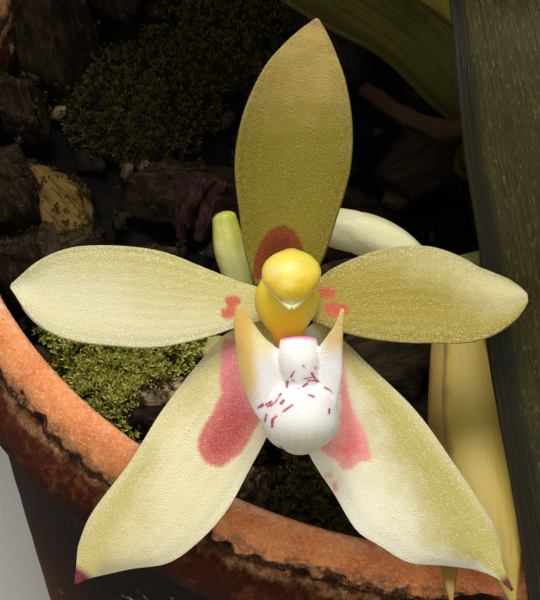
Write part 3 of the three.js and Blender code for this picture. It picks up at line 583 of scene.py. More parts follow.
pot_points, pot_faces = lathe(pot_section, POT_SIDES)
radius = np.hypot(pot_points[:, 0], pot_points[:, 1])
outward = pot_points * (1, 1, 0) / radius[:, None]
drop = POT_HEIGHT - pot_points[:, 2]
is_outside = radius > RIM_INNER + 1.2
near_rim = (drop < 12) & is_outside
on_wall = (radius > FOOT_RADIUS - 2) & ~near_rim
crumbled = np.exp(-(((drop - GROOVE_DROP) / GROOVE_SPREAD) ** 2)) * is_outside
chips = rough_at(pot_points, 0.55, 5, 3.1)
dents = rough_at(pot_points, 0.09, 3, 7.7)
chipped_away = crumbled * np.clip(chips * CHIP_DEPTH + 0.15, -0.15, CHIP_LIMIT)
throwing_rings = on_wall * RING_DEPTH * np.abs(np.sin(pot_points[:, 2] * RINGS_PER_MM + dents))
push = near_rim * dents * DENT_DEPTH - chipped_away - throwing_rings
pot_points = pot_points + outward * push[:, None]
pot_points[:, 2] += crumbled * chips * 0.35 - (drop < 1.2) * np.abs(dents) * 0.12
worn = np.clip(crumbled * (0.55 + chips), 0, 1)
print("deepest chip:", round(float(chipped_away.max()), 2), "mm")

# %% [markdown]
# The clay's finish works with the height on the pot. The worn groove is painted nearly black, for the dirt
# that sits in it and as painted shade, and crusts line it. The rim above keeps the clay's own orange, and
# its inner side is pale with dust and a painted highlight. The wall below is painted dark as shade. A
# narrow step on noise gives patches of lime and stain with a hard edge; a wide one would only give fog.

# %% The clay's finish
clay = Finish("old_terracotta", Roughness=0.85, Specular_IOR_Level=0.12)
spot = clay.place()
height_on_pot = clay.part(spot, "Z")
drop_here = POT_HEIGHT - height_on_pot
level = clay.scaled(spot, (1, 1, 0))
from_axis = clay.node("ShaderNodeVectorMath", {"operation": "LENGTH"}, {0: level}, "Value")
broad = clay.grain(spot, 0.06, 5.0, 0.6)
ragged = clay.grain(spot, 0.3, 7.0, 0.72)
fine = clay.grain(spot, 1.3, 6.0, 0.65)
grit = clay.grain(spot, 4.5, 3.0, 0.7)

# The pale band along the rim's inner edge is dust and a painted highlight.
inner_dust_and_highlight = from_axis.step(RIM_INNER + 1.6, RIM_INNER + 0.3) * (fine + broad - 0.5).step(0.42, 0.62)
rim_clay = clay.paint(
    srgb(246, 160, 100),
    (srgb(220, 122, 68), (broad * 0.5 + ragged * 0.5).step(0.38, 0.62)),
    (srgb(248, 204, 164), grit.step(0.52, 0.66) * 0.6),
    (srgb(156, 72, 36), grit.step(0.42, 0.3) * 0.45),
    (srgb(240, 206, 176), inner_dust_and_highlight * 0.6),
)
# The wall's tones are painted shade: dark below the rim, lighter in a strip just under it and towards the
# foot.
wall_lighter_under_rim = (drop_here + (broad - 0.5) * 3.0).step(9.0, 5.0)
wall_lighter_foot = height_on_pot.step(56, 10) * (0.35 + (broad + (fine - 0.5) * 0.5).step(0.36, 0.58) * 0.5)
wall_clay_painted_shade = clay.paint(
    srgb(42, 19, 9),
    (srgb(22, 11, 6), (broad + (fine - 0.5) * 0.6).step(0.4, 0.6)),
    (srgb(84, 38, 18), wall_lighter_under_rim * (0.35 + fine.step(0.4, 0.6) * 0.45)),
    (srgb(158, 92, 56), wall_lighter_foot),
)
below_rim = (drop_here + (ragged - 0.5) * 3.0).step(3.2, 4.4)
stained = drop_here.step(1.0, 2.6) * drop_here.step(8.5, 6.0) * (ragged * 0.7 + fine * 0.3).step(0.5, 0.58)
# Dirt and painted shade together: the groove and the worn, chipped places are painted near black.
groove_line = drop_here + (ragged - 0.5) * 3.4 + (fine - 0.5) * 1.2
crust = groove_line.step(1.5, 2.1) * groove_line.step(4.6, 3.7) * fine.step(0.44, 0.56)
groove = groove_line.step(2.3, 2.75) * groove_line.step(3.75, 3.3) * (fine * 0.6 + grit * 0.4).step(0.62, 0.5)
worn_dirt_and_shade = (clay.stored("worn", "Fac") + (fine - 0.5) * 0.9).step(0.45, 0.7)
lime = (ragged + broad * 0.5).step(0.92, 0.98) * grit.step(0.42, 0.54)
pinholes = clay.cells(spot, 1.7).step(0.13, 0.05) * broad.step(0.46, 0.56)
pot_colour = clay.paint(
    rim_clay,
    (wall_clay_painted_shade, below_rim),
    (srgb(110, 62, 34), stained * 0.7),
    (srgb(186, 148, 104), crust * 0.7),
    (srgb(30, 18, 11), groove * 0.92),
    (srgb(38, 22, 13), worn_dirt_and_shade * 0.85),
    (srgb(226, 212, 190), lime * 0.7),
    (srgb(92, 42, 22), pinholes * 0.75),
)
clay_relief = fine * 0.6 + grit * 0.35 + crust * 0.4 - groove * 0.9 - pinholes * 0.6
terracotta = clay.feed(colour=pot_colour, roughness=0.98 - ragged * 0.15, height=clay_relief, height_mm=0.3)
Skin().add(pot_points, pot_faces, worn=worn).piece("clay_pot", terracotta, "terracotta", ["pot"])

# %% [markdown]
# ## The flower's own frame
#
# The open flower looks up at 50 degrees, straight into the camera. All its pieces are laid out in its own
# plane: across to the right, up towards the dorsal sepal, and out towards whoever looks into it. Working
# in such a local frame keeps the numbers readable. It could be a parent object with a rotation, but the
# solids have their places in their meshes, so the finer pieces do as well.

# %% Points of the flower
FLOWER_CENTRE = np.array([-18.0, -37.6, 104.1])
FLOWER_UP = np.array([0.0, math.sin(LOOK_DOWN), math.cos(LOOK_DOWN)])
FLOWER_OUT = np.array([0.0, -math.cos(LOOK_DOWN), math.sin(LOOK_DOWN)])
FLOWER_ACROSS = np.array([1.0, 0.0, 0.0])


def on_flower(across, up, out):
    """A point or an array of points of the flower, in the plant's frame."""
    across, up, out = (np.asarray(v, float)[..., None] for v in (across, up, out))
    return FLOWER_CENTRE + across * FLOWER_ACROSS + up * FLOWER_UP + out * FLOWER_OUT


def in_flower(points):
    """Where points of the plant's frame are in the flower: across, up and out."""
    return (np.asarray(points) - FLOWER_CENTRE) @ np.stack([FLOWER_ACROSS, FLOWER_UP, FLOWER_OUT], axis=1)


def flower_line(points):
    return Line([on_flower(*point) for point in points])


print("flower centre:", FLOWER_CENTRE)

# %% [markdown]
# ## Bark in the pot
#
# Orchids that live on branches are potted in broken bark, which drains at once. Each chip of the solid is
# a rough prism. The same chips are laid here in the same places, by the same seeded chance, and then split
# finely and roughened along their fibres. Scattering copies of one chip would be quicker, but no two
# pieces of bark are alike, and the solid's chips have to be where they are. Crumbs fill the places between.

# %% The chips of the solid, laid again
MEDIUM_LEVEL = 71
CHIP_COUNT = 46
CHIP_LENGTH = 11.5
CHIP_THICKNESS = 3.4
CHIP_CORNERS = 5
CHIP_JITTER = 1.5
CHIP_SEED = 7
TINT_STEP = 0.381966
PIECE_GAP = 0.35
WORD = 0xFFFFFFFF
MOSS_BEDS = {  # each cushion's x, y and radius
    "moss_left": [(-31.5, -15, 6.5), (-32.6, -20.6, 4.6), (-37, -10, 4)],
    "moss_front": [(-15, -33, 5.5), (-7, -36, 5), (-11.5, -38, 3.8)],
    "moss_back": [(-31, 13, 7), (-24, 21, 6.5), (-17, 29, 6)],
}
BIG_CHUNKS = [  # each one's x, y, rise over the medium, size and tint
    (-38.6, -0.4, 5.0, 8, 0.93), (-39.4, -6.0, 3.6, 7, 0.42), (-27.8, -21.4, 2.6, 5.5, 0.86),
    (-21, -31.5, 2.4, 4.5, 0.74), (-9.6, -19.6, 2.6, 8, 0.5), (-12.6, -8.6, 3.2, 7, 0.6),
]
LEANING_SLABS = [118, 131, 144, 156, 168, 181, 194]  # where they lean on the wall, in degrees
SLAB_LENGTH = 15
SLAB_RING_RADIUS = 42
CLEARING = (3, -2)
CLEARING_RADIUS = 8.2


def laying_chance(state):
    """Numbers from 0 to 1, in the order in which the solid's chips were laid."""
    while True:
        state = (state + 0x6D2B79F5) & WORD
        mixed = ((state ^ (state >> 15)) * (state | 1)) & WORD
        mixed ^= (mixed + (((mixed ^ (mixed >> 7)) * (mixed | 61)) & WORD)) & WORD
        yield (mixed ^ (mixed >> 14)) / 2**32


def chip_form(chance, size):
    """The twelve points of one chip."""
    length = size * (0.6 + 0.7 * next(chance))
    width = length * (0.5 + 0.25 * next(chance))
    thickness = CHIP_THICKNESS * (0.7 + 0.7 * next(chance))
    points = []
    for level, shrink in ((-0.5, 1), (0.5, 0.86)):
        for k in range(CHIP_CORNERS):
            angle = 2 * math.pi * (k + 0.35 * next(chance)) / CHIP_CORNERS
            height = level * thickness + 0.25 * thickness * (next(chance) - 0.5)
            reach = (length / 2 * math.cos(angle) * shrink, width / 2 * math.sin(angle) * shrink)
            points.append((*reach, height))
    return np.array(points + [(0, 0, -0.55 * thickness), (0.1 * length, 0, 0.6 * thickness)])


def turned(axis, angle):
    return np.array(Matrix.Rotation(angle, 3, axis))


def laid_chips():
    """Every chip of the solid: its own points, its turn, its place, and its tint from 0 to 1."""
    chance = laying_chance(CHIP_SEED)
    beds = [cushion for bed in MOSS_BEDS.values() for cushion in bed]
    golden_angle = math.pi * (3 - math.sqrt(5))
    chips = []
    for k in range(CHIP_COUNT):
        reach = (RIM_INNER - 3) * math.sqrt((k + 0.7) / CHIP_COUNT)
        x = reach * math.cos(k * golden_angle) + CHIP_JITTER * (next(chance) - 0.5)
        y = reach * math.sin(k * golden_angle) + CHIP_JITTER * (next(chance) - 0.5)
        form = chip_form(chance, CHIP_LENGTH)
        turn_x, turn_y = ((next(chance) - 0.5) * 0.9, (next(chance) - 0.5) * 0.7)
        turn = turned("Z", next(chance) * math.pi) @ turned("Y", turn_y) @ turned("X", turn_x)
        place = (x, y, MEDIUM_LEVEL + 0.4 + 2.2 * next(chance))
        if not any(math.hypot(x - mx, y - my) < mr - 1 for mx, my, mr in beds):
            chips.append((form, turn, place, (k * TINT_STEP) % 0.7))
    for x, y, rise, size, tint in BIG_CHUNKS:
        turn = turned("Z", x) @ turned("X", 0.5)
        chips.append((chip_form(chance, size * 1.2), turn, (x, y, MEDIUM_LEVEL + rise / 2), tint))
    for degrees in LEANING_SLABS:
        angle = math.radians(degrees)
        form = chip_form(chance, SLAB_LENGTH)
        turn = turned("Z", angle) @ turned("Y", -1.15 - 0.2 * next(chance))
        reach = (SLAB_RING_RADIUS * math.cos(angle), SLAB_RING_RADIUS * math.sin(angle))
        chips.append((form, turn, (*reach, MEDIUM_LEVEL + 5), 0.05 + degrees % 7 * 0.03))
    return chips


chips_laid = laid_chips()
print("chips:", len(chips_laid))

# %% Splitting a chip finely and roughening it along its fibres
CHIP_FACES = []
for k in range(CHIP_CORNERS):
    beside = (k + 1) % CHIP_CORNERS
    CHIP_FACES += [(k, beside, CHIP_CORNERS + beside), (k, CHIP_CORNERS + beside, CHIP_CORNERS + k)]
    CHIP_FACES += [(2 * CHIP_CORNERS, beside, k)]
    CHIP_FACES += [(2 * CHIP_CORNERS + 1, CHIP_CORNERS + k, CHIP_CORNERS + beside)]


def split_chip(form, cuts, roughness, seed):
    """A chip's points and faces after splitting each face, pushed in and out by noise along its fibres."""
    shape = bmesh.new()
    corners = [shape.verts.new(p) for p in form]
    for face in CHIP_FACES:
        shape.faces.new([corners[i] for i in face])
    bmesh.ops.subdivide_edges(shape, edges=shape.edges[:], cuts=cuts, use_grid_fill=True)
    shape.normal_update()
    points = np.array([v.co for v in shape.verts])
    ways = np.array([v.normal for v in shape.verts])
    faces = [[v.index for v in f.verts] for f in shape.faces]
    shape.free()
    push = rough_at(points * (0.35, 1.1, 1.9), 0.55, 4, seed) + 0.5 * rough_at(points, 1.3, 2, seed)
    return points + ways * (push * roughness)[:, None], faces, points


WALL_CLEARANCE = PIECE_GAP + 0.1


def keep_in_pot(points):
    """Keeps points inside the pot's wall, off its rim and out of the open place round the stem."""
    room = np.array([wall_inner(z) for z in np.minimum(points[:, 2], POT_HEIGHT)]) - WALL_CLEARANCE
    reach = np.hypot(points[:, 0], points[:, 1])
    points[:, :2] *= np.minimum(1, room / np.maximum(reach, 1e-6))[:, None]
    aside = points[:, :2] - CLEARING
    away = np.hypot(aside[:, 0], aside[:, 1])
    low = (points[:, 2] > MEDIUM_LEVEL + 0.2) & (away < CLEARING_RADIUS)
    points[low, 2] = MEDIUM_LEVEL + 0.2
    points[:, 2] = np.clip(points[:, 2], MEDIUM_LEVEL - 3, POT_HEIGHT)
    return points


CHIP_CUTS, CHIP_ROUGHNESS = 5, 0.42

bark_skin = Skin()
for number, (form, turn, place, tint) in enumerate(chips_laid):
    points, faces, own = split_chip(form, CHIP_CUTS, CHIP_ROUGHNESS, number * 1.7)
    points = keep_in_pot(points @ turn.T + place)
    bark_skin.add(points, faces, fibre=own + (number * 9.1, 0, 0), tint=tint)
print("chip faces:", len(bark_skin.faces))

# %% The bed under the chips, and crumbs in the places between
BED_SIDES = 200
BED_MIDDLE = 0.05
CRUMB_COUNT = 520
CRUMB_CUTS, CRUMB_ROUGHNESS = 1, 0.12

bed_floor = FOOT_THICKNESS + PIECE_GAP
bed_radii = np.linspace(BED_MIDDLE, wall_inner(MEDIUM_LEVEL) - WALL_CLEARANCE, 76)
bed_side = np.linspace(FOOT_THICKNESS + 4.5, MEDIUM_LEVEL - 1, 12)
bed_section = [(r, MEDIUM_LEVEL) for r in bed_radii[::-1]]
bed_section += [(BED_MIDDLE, bed_floor), (wall_inner(bed_floor) - PIECE_GAP - INSIDE_CORNER, bed_floor)]
bed_section += [(wall_inner(z) - WALL_CLEARANCE, z) for z in bed_side]
bed_points, bed_faces = lathe(bed_section, BED_SIDES)
bed_top = bed_points[:, 2] > MEDIUM_LEVEL - 0.5
bed_points[bed_top, 2] += rough_at(bed_points[bed_top], 0.35, 5, 5.5) * 0.8 - 0.5
bark_skin.add(bed_points, bed_faces, fibre=bed_points, tint=0.12)

crumb_dice = np.random.RandomState(11)
for number in range(CRUMB_COUNT):
    reach = (RIM_INNER - 1.5) * math.sqrt(crumb_dice.rand())
    angle = crumb_dice.rand() * 2 * math.pi
    x, y = reach * math.cos(angle), reach * math.sin(angle)
    size = 1.5 + 2.8 * crumb_dice.rand() ** 2
    form = chip_form(iter(crumb_dice.rand(40).tolist()), size) * (1, 1, 0.22 + 0.14 * crumb_dice.rand())
    turns = crumb_dice.rand(3) * (1.6, 1.6, 6.3)
    turn = turned("Z", turns[2]) @ turned("Y", turns[1] - 0.8) @ turned("X", turns[0] - 0.8)
    points, faces, own = split_chip(form, CRUMB_CUTS, CRUMB_ROUGHNESS, number * 0.9)
    points = keep_in_pot(points @ turn.T + (x, y, MEDIUM_LEVEL + 0.3 + 0.9 * crumb_dice.rand()))
    bark_skin.add(points, faces, fibre=own * 1.6 + (number * 5.3, 0, 0), tint=crumb_dice.rand() * 0.9)
print("bark faces:", len(bark_skin.faces))

# %% [markdown]
# Bark is streaked along its fibres, so each chip carries its own unturned coordinates, and the noise is
# stretched in those. Its tint comes from one number a chip through a ramp: fresh breaks are ochre, old
# faces grey or greenish, and wet crumbs almost black. All the tints are kept dark, for wet bark and as
# painted shade for the medium deep in the pot. Places low between the chips get a near-black painted
# shade by their height.

# %% The bark's finish
bark = Finish("broken_bark", Roughness=0.88, Specular_IOR_Level=0.15)
own_place = bark.stored("fibre")
bark_spot = bark.place()
streak = bark.grain(bark.scaled(own_place, (0.22, 1.5, 2.4)), 1.0, 7.0, 0.7)
flakes = bark.cells(bark.scaled(own_place, (0.5, 1.1, 1.6)), 0.8)
mottle = bark.grain(bark_spot, 0.28, 5.0, 0.62)
# Low places between the chips get a near-black painted shade.
low_painted_shade = bark.part(bark_spot, "Z").step(MEDIUM_LEVEL + 3.2, MEDIUM_LEVEL - 0.4)
# The tints are kept dark all through: wet bark, and painted shade for the medium deep in the pot.
bark_tints = [
    (0.0, srgb(22, 14, 8)), (0.22, srgb(32, 21, 11)), (0.42, srgb(54, 47, 31)), (0.5, srgb(50, 45, 22)),
    (0.6, srgb(54, 42, 26)), (0.74, srgb(118, 92, 66)), (0.86, srgb(196, 172, 128)), (0.9, srgb(102, 82, 44)),
    (0.95, srgb(116, 90, 30)),
]
bark_colour = bark.paint(
    bark.ramp(bark.stored("tint", "Fac"), bark_tints),
    (srgb(30, 20, 14), streak.step(0.56, 0.4) * 0.8),
    (srgb(88, 70, 44), (streak * flakes.step(0.1, 0.5)).step(0.42, 0.6) * 0.3),
    (srgb(34, 31, 8), mottle.step(0.55, 0.68) * 0.6),
    (srgb(8, 5, 3), low_painted_shade * 0.92),
)
bark_relief = streak * 0.75 + flakes * 0.4
bark_look = bark.feed(colour=bark_colour, roughness=0.95 - flakes * 0.2, height=bark_relief, height_mm=0.5)
bark_skin.piece("potting_bark_pieces", bark_look, "bark", ["potting_bark"])

# %% [markdown]
# ## Moss
#
# A moss cushion is a crowd of tiny shoots, each with leaflets in a spiral. Hair particles could draw
# them, but they are lost on export, so each leaflet is one small pointed face. A cushion needs a thousand
# shoots before it looks soft. All of them are worked out at once as arrays, since a loop would be slow.

# %% Shoots with leaflets in a spiral
LEAFLETS = 9
LEAFLET_TURN = 2.4


def moss_shoots(skin, roots, ways, height, leaflet, dice):
    """Adds one shoot at each root, leaning along its way. Each point carries how near the tip it is."""
    count = len(roots)
    height = height * (0.6 + 0.7 * dice.rand(count, 1))
    aside = unit(np.cross(ways, dice.normal(size=(count, 3))))
    beside = np.cross(ways, aside)
    tone = dice.rand(count, 1)
    turn = dice.rand(count, 1) * 6.3
    for number in range(LEAFLETS):
        share = number / (LEAFLETS - 1)
        angle = turn + number * LEAFLET_TURN
        spread = aside * np.cos(angle) + beside * np.sin(angle)
        start = roots + ways * height * share
        lean = unit(spread * (1.0 - 0.55 * share) + ways * (0.35 + 0.8 * share))
        length = leaflet * (1.15 - 0.5 * share)
        width = np.cross(ways, spread) * length * 0.2
        middle = start + lean * length * 0.45
        tip = start + unit(lean - ways * 0.12) * length
        points = np.stack([start, middle + width, tip, middle - width], axis=1).reshape(-1, 3)
        faces = np.arange(count * 4).reshape(-1, 4)
        young = np.clip(share * 0.7 + tone * 0.5, 0, 1)
        youth = np.stack([young - 0.15, young, young + 0.25, young], axis=1).reshape(-1, 1)
        skin.add(points, faces, youth=youth)


# %% Cushions
SHOOT_DENSITY = 15
SHOOT_HEIGHT, LEAFLET_LENGTH = 0.75, 0.75
SHOOT_DEPTH = 0.45
SLOPE_STEP = 0.05


def cushion_rise(radius):
    return 3.4 * radius / 8


def cushion_height(bed, x, y):
    """How high the cushions of a bed stand over the medium at x and y, 0 outside them."""
    height = np.zeros_like(x)
    for cushion_x, cushion_y, radius in bed:
        inside = 1 - ((x - cushion_x) ** 2 + (y - cushion_y) ** 2) / radius**2
        height = np.maximum(height, cushion_rise(radius) * np.sqrt(np.clip(inside, 0, 1)))
    return height


def moss_cushion(bed, seed):
    """A dark lumpy ground in the cushions' form, with shoots all over it."""
    dice = np.random.RandomState(seed)
    skin = Skin()
    ground = MEDIUM_LEVEL + PIECE_GAP
    for x, y, radius in bed:
        turn = np.linspace(0, math.pi / 2, 14)
        rise = cushion_rise(radius) - PIECE_GAP
        section = [(0.02, 0)] + [(max(0.02, radius * math.cos(a) - 0.3), rise * math.sin(a)) for a in turn]
        points, faces = lathe(section, 48)
        lumps = rough_at(points + (x, y, 0), 0.6, 3, seed)[:, None]
        skin.add(points * (1 + 0.05 * lumps) + (x, y, ground), faces, youth=0.0)
    spots = []
    for x, y, radius in bed:
        count = int(SHOOT_DENSITY * radius**2)
        reach, angle = radius * 0.97 * np.sqrt(dice.rand(count)), dice.rand(count) * 2 * math.pi
        spots.append(np.stack([x + reach * np.cos(angle), y + reach * np.sin(angle)], axis=1))
    x, y = np.concatenate(spots).T
    height = cushion_height(bed, x, y)
    slope_x = (cushion_height(bed, x + SLOPE_STEP, y) - height) / SLOPE_STEP
    slope_y = (cushion_height(bed, x, y + SLOPE_STEP) - height) / SLOPE_STEP
    steep = np.clip(np.stack([-slope_x, -slope_y], axis=1), -1.4, 1.4)
    ways = np.column_stack([steep, np.full(len(x), 1.0)]) + dice.normal(0, 0.28, (len(x), 3))
    roots = np.column_stack([x, y, ground + height - SHOOT_DEPTH])
    moss_shoots(skin, roots, unit(ways), SHOOT_HEIGHT, LEAFLET_LENGTH, dice)
    return skin


def moss_finish(name, tints):
    moss = tissue(name, 0.25, (0.4, 0.6, 0.2), Roughness=0.8, Specular_IOR_Level=0.2)
    youth = moss.stored("youth", "Fac")
    patch = moss.grain(moss.place(), 0.22, 3.0)
    return moss.feed(colour=moss.ramp(youth + (patch - 0.5) * 0.5, tints), roughness=0.9 - youth * 0.25)


fresh_moss = moss_finish("fresh_moss", [
    (0.0, srgb(24, 22, 6)), (0.3, srgb(82, 82, 20)), (0.65, srgb(138, 138, 46)), (1.0, srgb(200, 196, 98)),
])
# The same moss with darker tones, as painted shade, for the front and back cushions and the creeping shoots.
painted_shade_moss = moss_finish("painted_shade_moss", [
    (0.0, srgb(8, 7, 3)), (0.3, srgb(22, 18, 5)), (0.65, srgb(42, 35, 9)), (1.0, srgb(76, 64, 20)),
])
MOSS_LOOKS = {"moss_left": fresh_moss, "moss_front": painted_shade_moss, "moss_back": painted_shade_moss}
for number, (bed_name, bed) in enumerate(MOSS_BEDS.items()):
    moss_cushion(bed, 20 + number).piece(f"{bed_name}_shoots", MOSS_LOOKS[bed_name], "moss", [bed_name])

# %% Single moss shoots that creep over the bark
CREEPING_SHOOTS = 1500
CREEPING_REACH = 4.5

creep_dice = np.random.RandomState(31)
chip_points = bark_skin.points
on_top = chip_points[:, 2] > MEDIUM_LEVEL + 1.0
near_moss = np.zeros(len(chip_points), bool)
for bed in MOSS_BEDS.values():
    for x, y, radius in bed:
        near_moss |= np.hypot(chip_points[:, 0] - x, chip_points[:, 1] - y) < radius + CREEPING_REACH
choice = np.flatnonzero(on_top & (near_moss | (chip_points[:, 0] < -20)))
choice = creep_dice.choice(choice, CREEPING_SHOOTS, replace=False)
creeping = Skin()
creep_ways = unit(creep_dice.normal(0, 0.5, (len(choice), 3)) + (0, 0, 1))
moss_shoots(creeping, chip_points[choice] - (0, 0, 0.15), creep_ways, 0.45, 0.55, creep_dice)
creeping.points = keep_in_pot(creeping.points)
creeping.piece("creeping_moss", painted_shade_moss, "moss")

# %% [markdown]
# ## Stem and roots
#
# The stem is short and ringed by old leaf bases. The roots are as thick as a pencil lead with a spongy,
# silvery skin that turns green where it is wet. Both are rods along the solid's own lines.

# %% The stem and the aerial roots
STEM_FOOT, STEM_TOP = 47, 116
STEM_RADIUS, STEM_TOP_RADIUS = 3.9, 3.0
NODE_RING, NODE_SPACING = 0.22, 6.5
stem_line = Line([(3, -2, STEM_FOOT), (3, -2, 70), (2.8, -1.2, 90), (2.0, 0, 103), (1.4, 0.6, STEM_TOP)])
ROOT_RUNS = [
    [(3, -2, 70), (9, -8, 74), (19, -16, 77.5), (26.5, -25, 76.5), (31, -27.5, 66)],
    [(3, -2, 73), (8, 8, 78.5), (11, 19, 78.5), (6, 29, 77), (2, 33, 64)],
    [(3, -2, 71), (11, 4, 75), (22, 8, 77.5), (32, 11, 76), (36, 12, 66)],
    [(3, -2, 70), (2.6, -10, 74.6), (6, -22, 78), (4, -33, 76), (0, -36, 66)],
]
ROOT_RADIUS = 1.25


def stem_share(height):
    return (height - STEM_FOOT) / (STEM_TOP - STEM_FOOT)


def stem_radius_at(height):
    return STEM_RADIUS + (STEM_TOP_RADIUS - STEM_RADIUS) * stem_share(height) + NODE_RING


def stem_half_width(along):
    rings = NODE_RING * np.sin(along * (STEM_TOP - STEM_FOOT) * 2 * math.pi / NODE_SPACING)
    return STEM_RADIUS + (STEM_TOP_RADIUS - STEM_RADIUS) * along + np.where(along > 0.4, rings, 0)


def root_half_width(along):
    return ROOT_RADIUS * (1 - 0.25 * along**3) * (1 + 0.05 * np.sin(23 * along))


root_skin = Skin()
root_skin.add_form(rod(stem_line, 150, 48, stem_half_width), (62, 24, 0), wetness=0.9)
for number, run in enumerate(ROOT_RUNS):
    root_line = Line(run)
    form = rod(root_line, 120, 20, root_half_width)
    over_medium = form[0][:, 2:] - MEDIUM_LEVEL
    wetness = np.clip(1.1 - 0.035 * over_medium**2, 0, 1) * 0.8
    root_skin.add_form(form, (root_line.length, 8, 0), (0, 0, number * 7), wetness=wetness)

velamen = Finish("root_skin", Roughness=0.8)
root_fleck = velamen.fibres((0.8, 1.6), 1.4, 6.0, 0.7)
root_patch = velamen.grain(velamen.place(), 0.3, 3.0)
wet = velamen.stored("wetness", "Fac")
root_colour = velamen.paint(
    srgb(150, 152, 134),
    (srgb(88, 92, 44), (wet + (root_patch - 0.5)).step(0.35, 0.85)),
    (srgb(206, 206, 192), root_fleck.step(0.55, 0.72) * 0.6),
    (srgb(74, 48, 26), root_patch.step(0.62, 0.75) * 0.7),
)
root_look = velamen.feed(colour=root_colour, roughness=0.9 - wet * 0.25, height=root_fleck, height_mm=0.12)
root_skin.piece("stem_with_roots", root_look, "root", ["stem_and_roots"])

# %% [markdown]
# ## Leaves
#
# A strap leaf clasps the stem with folded margins, opens out and arches over. Its section is thickest in
# the middle and thin at the margins, and the midrib shows as a channel above. That channel is real
# relief. The fine streaks along the leaf are left to the finish, which gets for each point how far along
# and how far across the leaf it lies.

# %% Leaf forms
LEAF_THICKNESS = 1.3
LEAVES = {  # height of the base, azimuth, width, and the spine's points: out, aside and up from the base
    "leaf_right": (101, -82, 35, [
        (6.6, -0.3, 8), (11.5, 0.2, 10.6), (21, 2.6, 6.3), (31.5, 5.7, -3), (45, 8.0, -11.2),
        (60, 8.7, -20.5), (76, 8.2, -33), (90, 7.4, -46), (100, 6.7, -58)]),
    "leaf_upper": (79, 120, 34, [
        (7.4, 0.5, 6), (12, 1, 9.6), (20, 3, 12), (35, 4, 14.5), (53, 0, 12.5), (71, -7, 5), (88, -16, -6),
        (102, -26, -19)]),
    "leaf_low_right": (76, -22, 32, [
        (8, -0.5, 7), (17, -1.5, 13.5), (30, -1.5, 16.5), (44, 1.5, 13), (57, 6, 3), (67, 11, -13)]),
    "leaf_left_back": (91, 142, 28, [
        (7.5, 0.5, 8), (15, 1.5, 17), (31, 1, 23), (51, -1, 19), (72, -2, 6), (89, -3, -12)]),
    "leaf_young": (107, 40, 19, [(5.2, 0, 8), (8.5, 0, 22), (16, 0, 34), (28, 0, 41), (41, 0, 40)]),
}
LEAF_WIDTHS = [
    (0, 0.36), (0.06, 0.42), (0.16, 0.72), (0.3, 0.93), (0.5, 1), (0.72, 0.98), (0.88, 0.78), (0.96, 0.45),
    (1, 0.06),
]
LEAF_CLASP = [(0, 1.0), (0.05, 0.8), (0.12, 0.58), (0.25, 0.42), (0.5, 0.28), (1, 0.18)]


def leaf_place(base, azimuth, width, spine):
    """The middle surface of one leaf, and the length of its spine."""
    turn = math.radians(azimuth)
    outward = np.array([math.cos(turn), math.sin(turn), 0])
    sideways = np.array([-outward[1], outward[0], 0])
    foot = stem_line.at(stem_share(base))
    seat = stem_radius_at(base) + PIECE_GAP + LEAF_THICKNESS / 2
    spine = [(seat, 0, 0), (seat + 0.7, 0, 3.5), *spine]
    line = Line([foot + outward * out + sideways * aside + (0, 0, rise) for out, aside, rise in spine])

    def place(along, across):
        forward = line.heading(along)
        side = unit(np.cross(forward, (0, 0, 1)) - 0.02 * sideways)
        above = unit(np.cross(side, forward))
        bend = between_stations(LEAF_CLASP, along)
        arc_radius = width / 2 * between_stations(LEAF_WIDTHS, along) / bend
        fullness = np.minimum(np.minimum(1, 4 * along), 7 * (1 - along))
        wave = 0.5 * np.sin(9 * along + 2 * across) * across**2 * fullness
        aside = arc_radius * np.sin(across * bend)
        rise = arc_radius * (1 - np.cos(across * bend)) + wave
        return line.at(along) + side * aside[..., None] + above * rise[..., None]

    return place, line.length


def leaf_thickness(along, across):
    return LEAF_THICKNESS * (0.98 - 0.62 * np.abs(across) ** 3) * np.clip((1.02 - along) * 9, 0.3, 1)


def midrib(along, across):
    return -0.32 * np.exp(-((across / 0.035) ** 2)) * np.clip(3 * (1 - along), 0, 1)


# %% The leaf's finish
def leaf_finish(name, dark, mid, margin_tone):
    leaf = tissue(name, 0.12, (0.6, 0.8, 0.2), Roughness=0.45, Specular_IOR_Level=0.25)
    across_leaf = abs(leaf.stored("across", "Fac"))
    streaks = leaf.fibres((0.035, 1.1), 1.6, 5.0, 0.62)
    fine_streaks = leaf.fibres((0.12, 3.5), 1.3, 4.0, 0.6)
    scurf = leaf.fibres((0.8, 1.3), 2.2, 4.0, 0.75)
    freckles = leaf.cells(leaf.scaled(leaf.stored("lie"), (1.0, 1.4, 1.0)), 1.5)
    patches = leaf.grain(leaf.place(), 0.07, 4.0, 0.6)
    margin = across_leaf.step(0.84, 0.93) * (0.75 + streaks * 0.5)
    colour = leaf.paint(
        dark,
        (mid, (streaks * 0.6 + patches * 0.55).step(0.42, 0.72)),
        (srgb(92, 90, 44), fine_streaks.step(0.6, 0.78) * 0.3),
        (srgb(124, 122, 80), freckles.step(0.16, 0.05) * patches.step(0.42, 0.55) * 0.5),
        (srgb(116, 106, 62), scurf.step(0.54, 0.68) * 0.45),
        (srgb(20, 18, 4), scurf.step(0.46, 0.34) * 0.4),
        (margin_tone, margin),
        (srgb(78, 80, 36), across_leaf.step(0.045, 0.012) * 0.4),
    )
    roughness = 0.36 + streaks * 0.3 - margin * 0.08
    relief = fine_streaks * 0.6 + streaks * 0.5
    return leaf.feed(colour=colour, roughness=roughness, height=relief, height_mm=0.16)


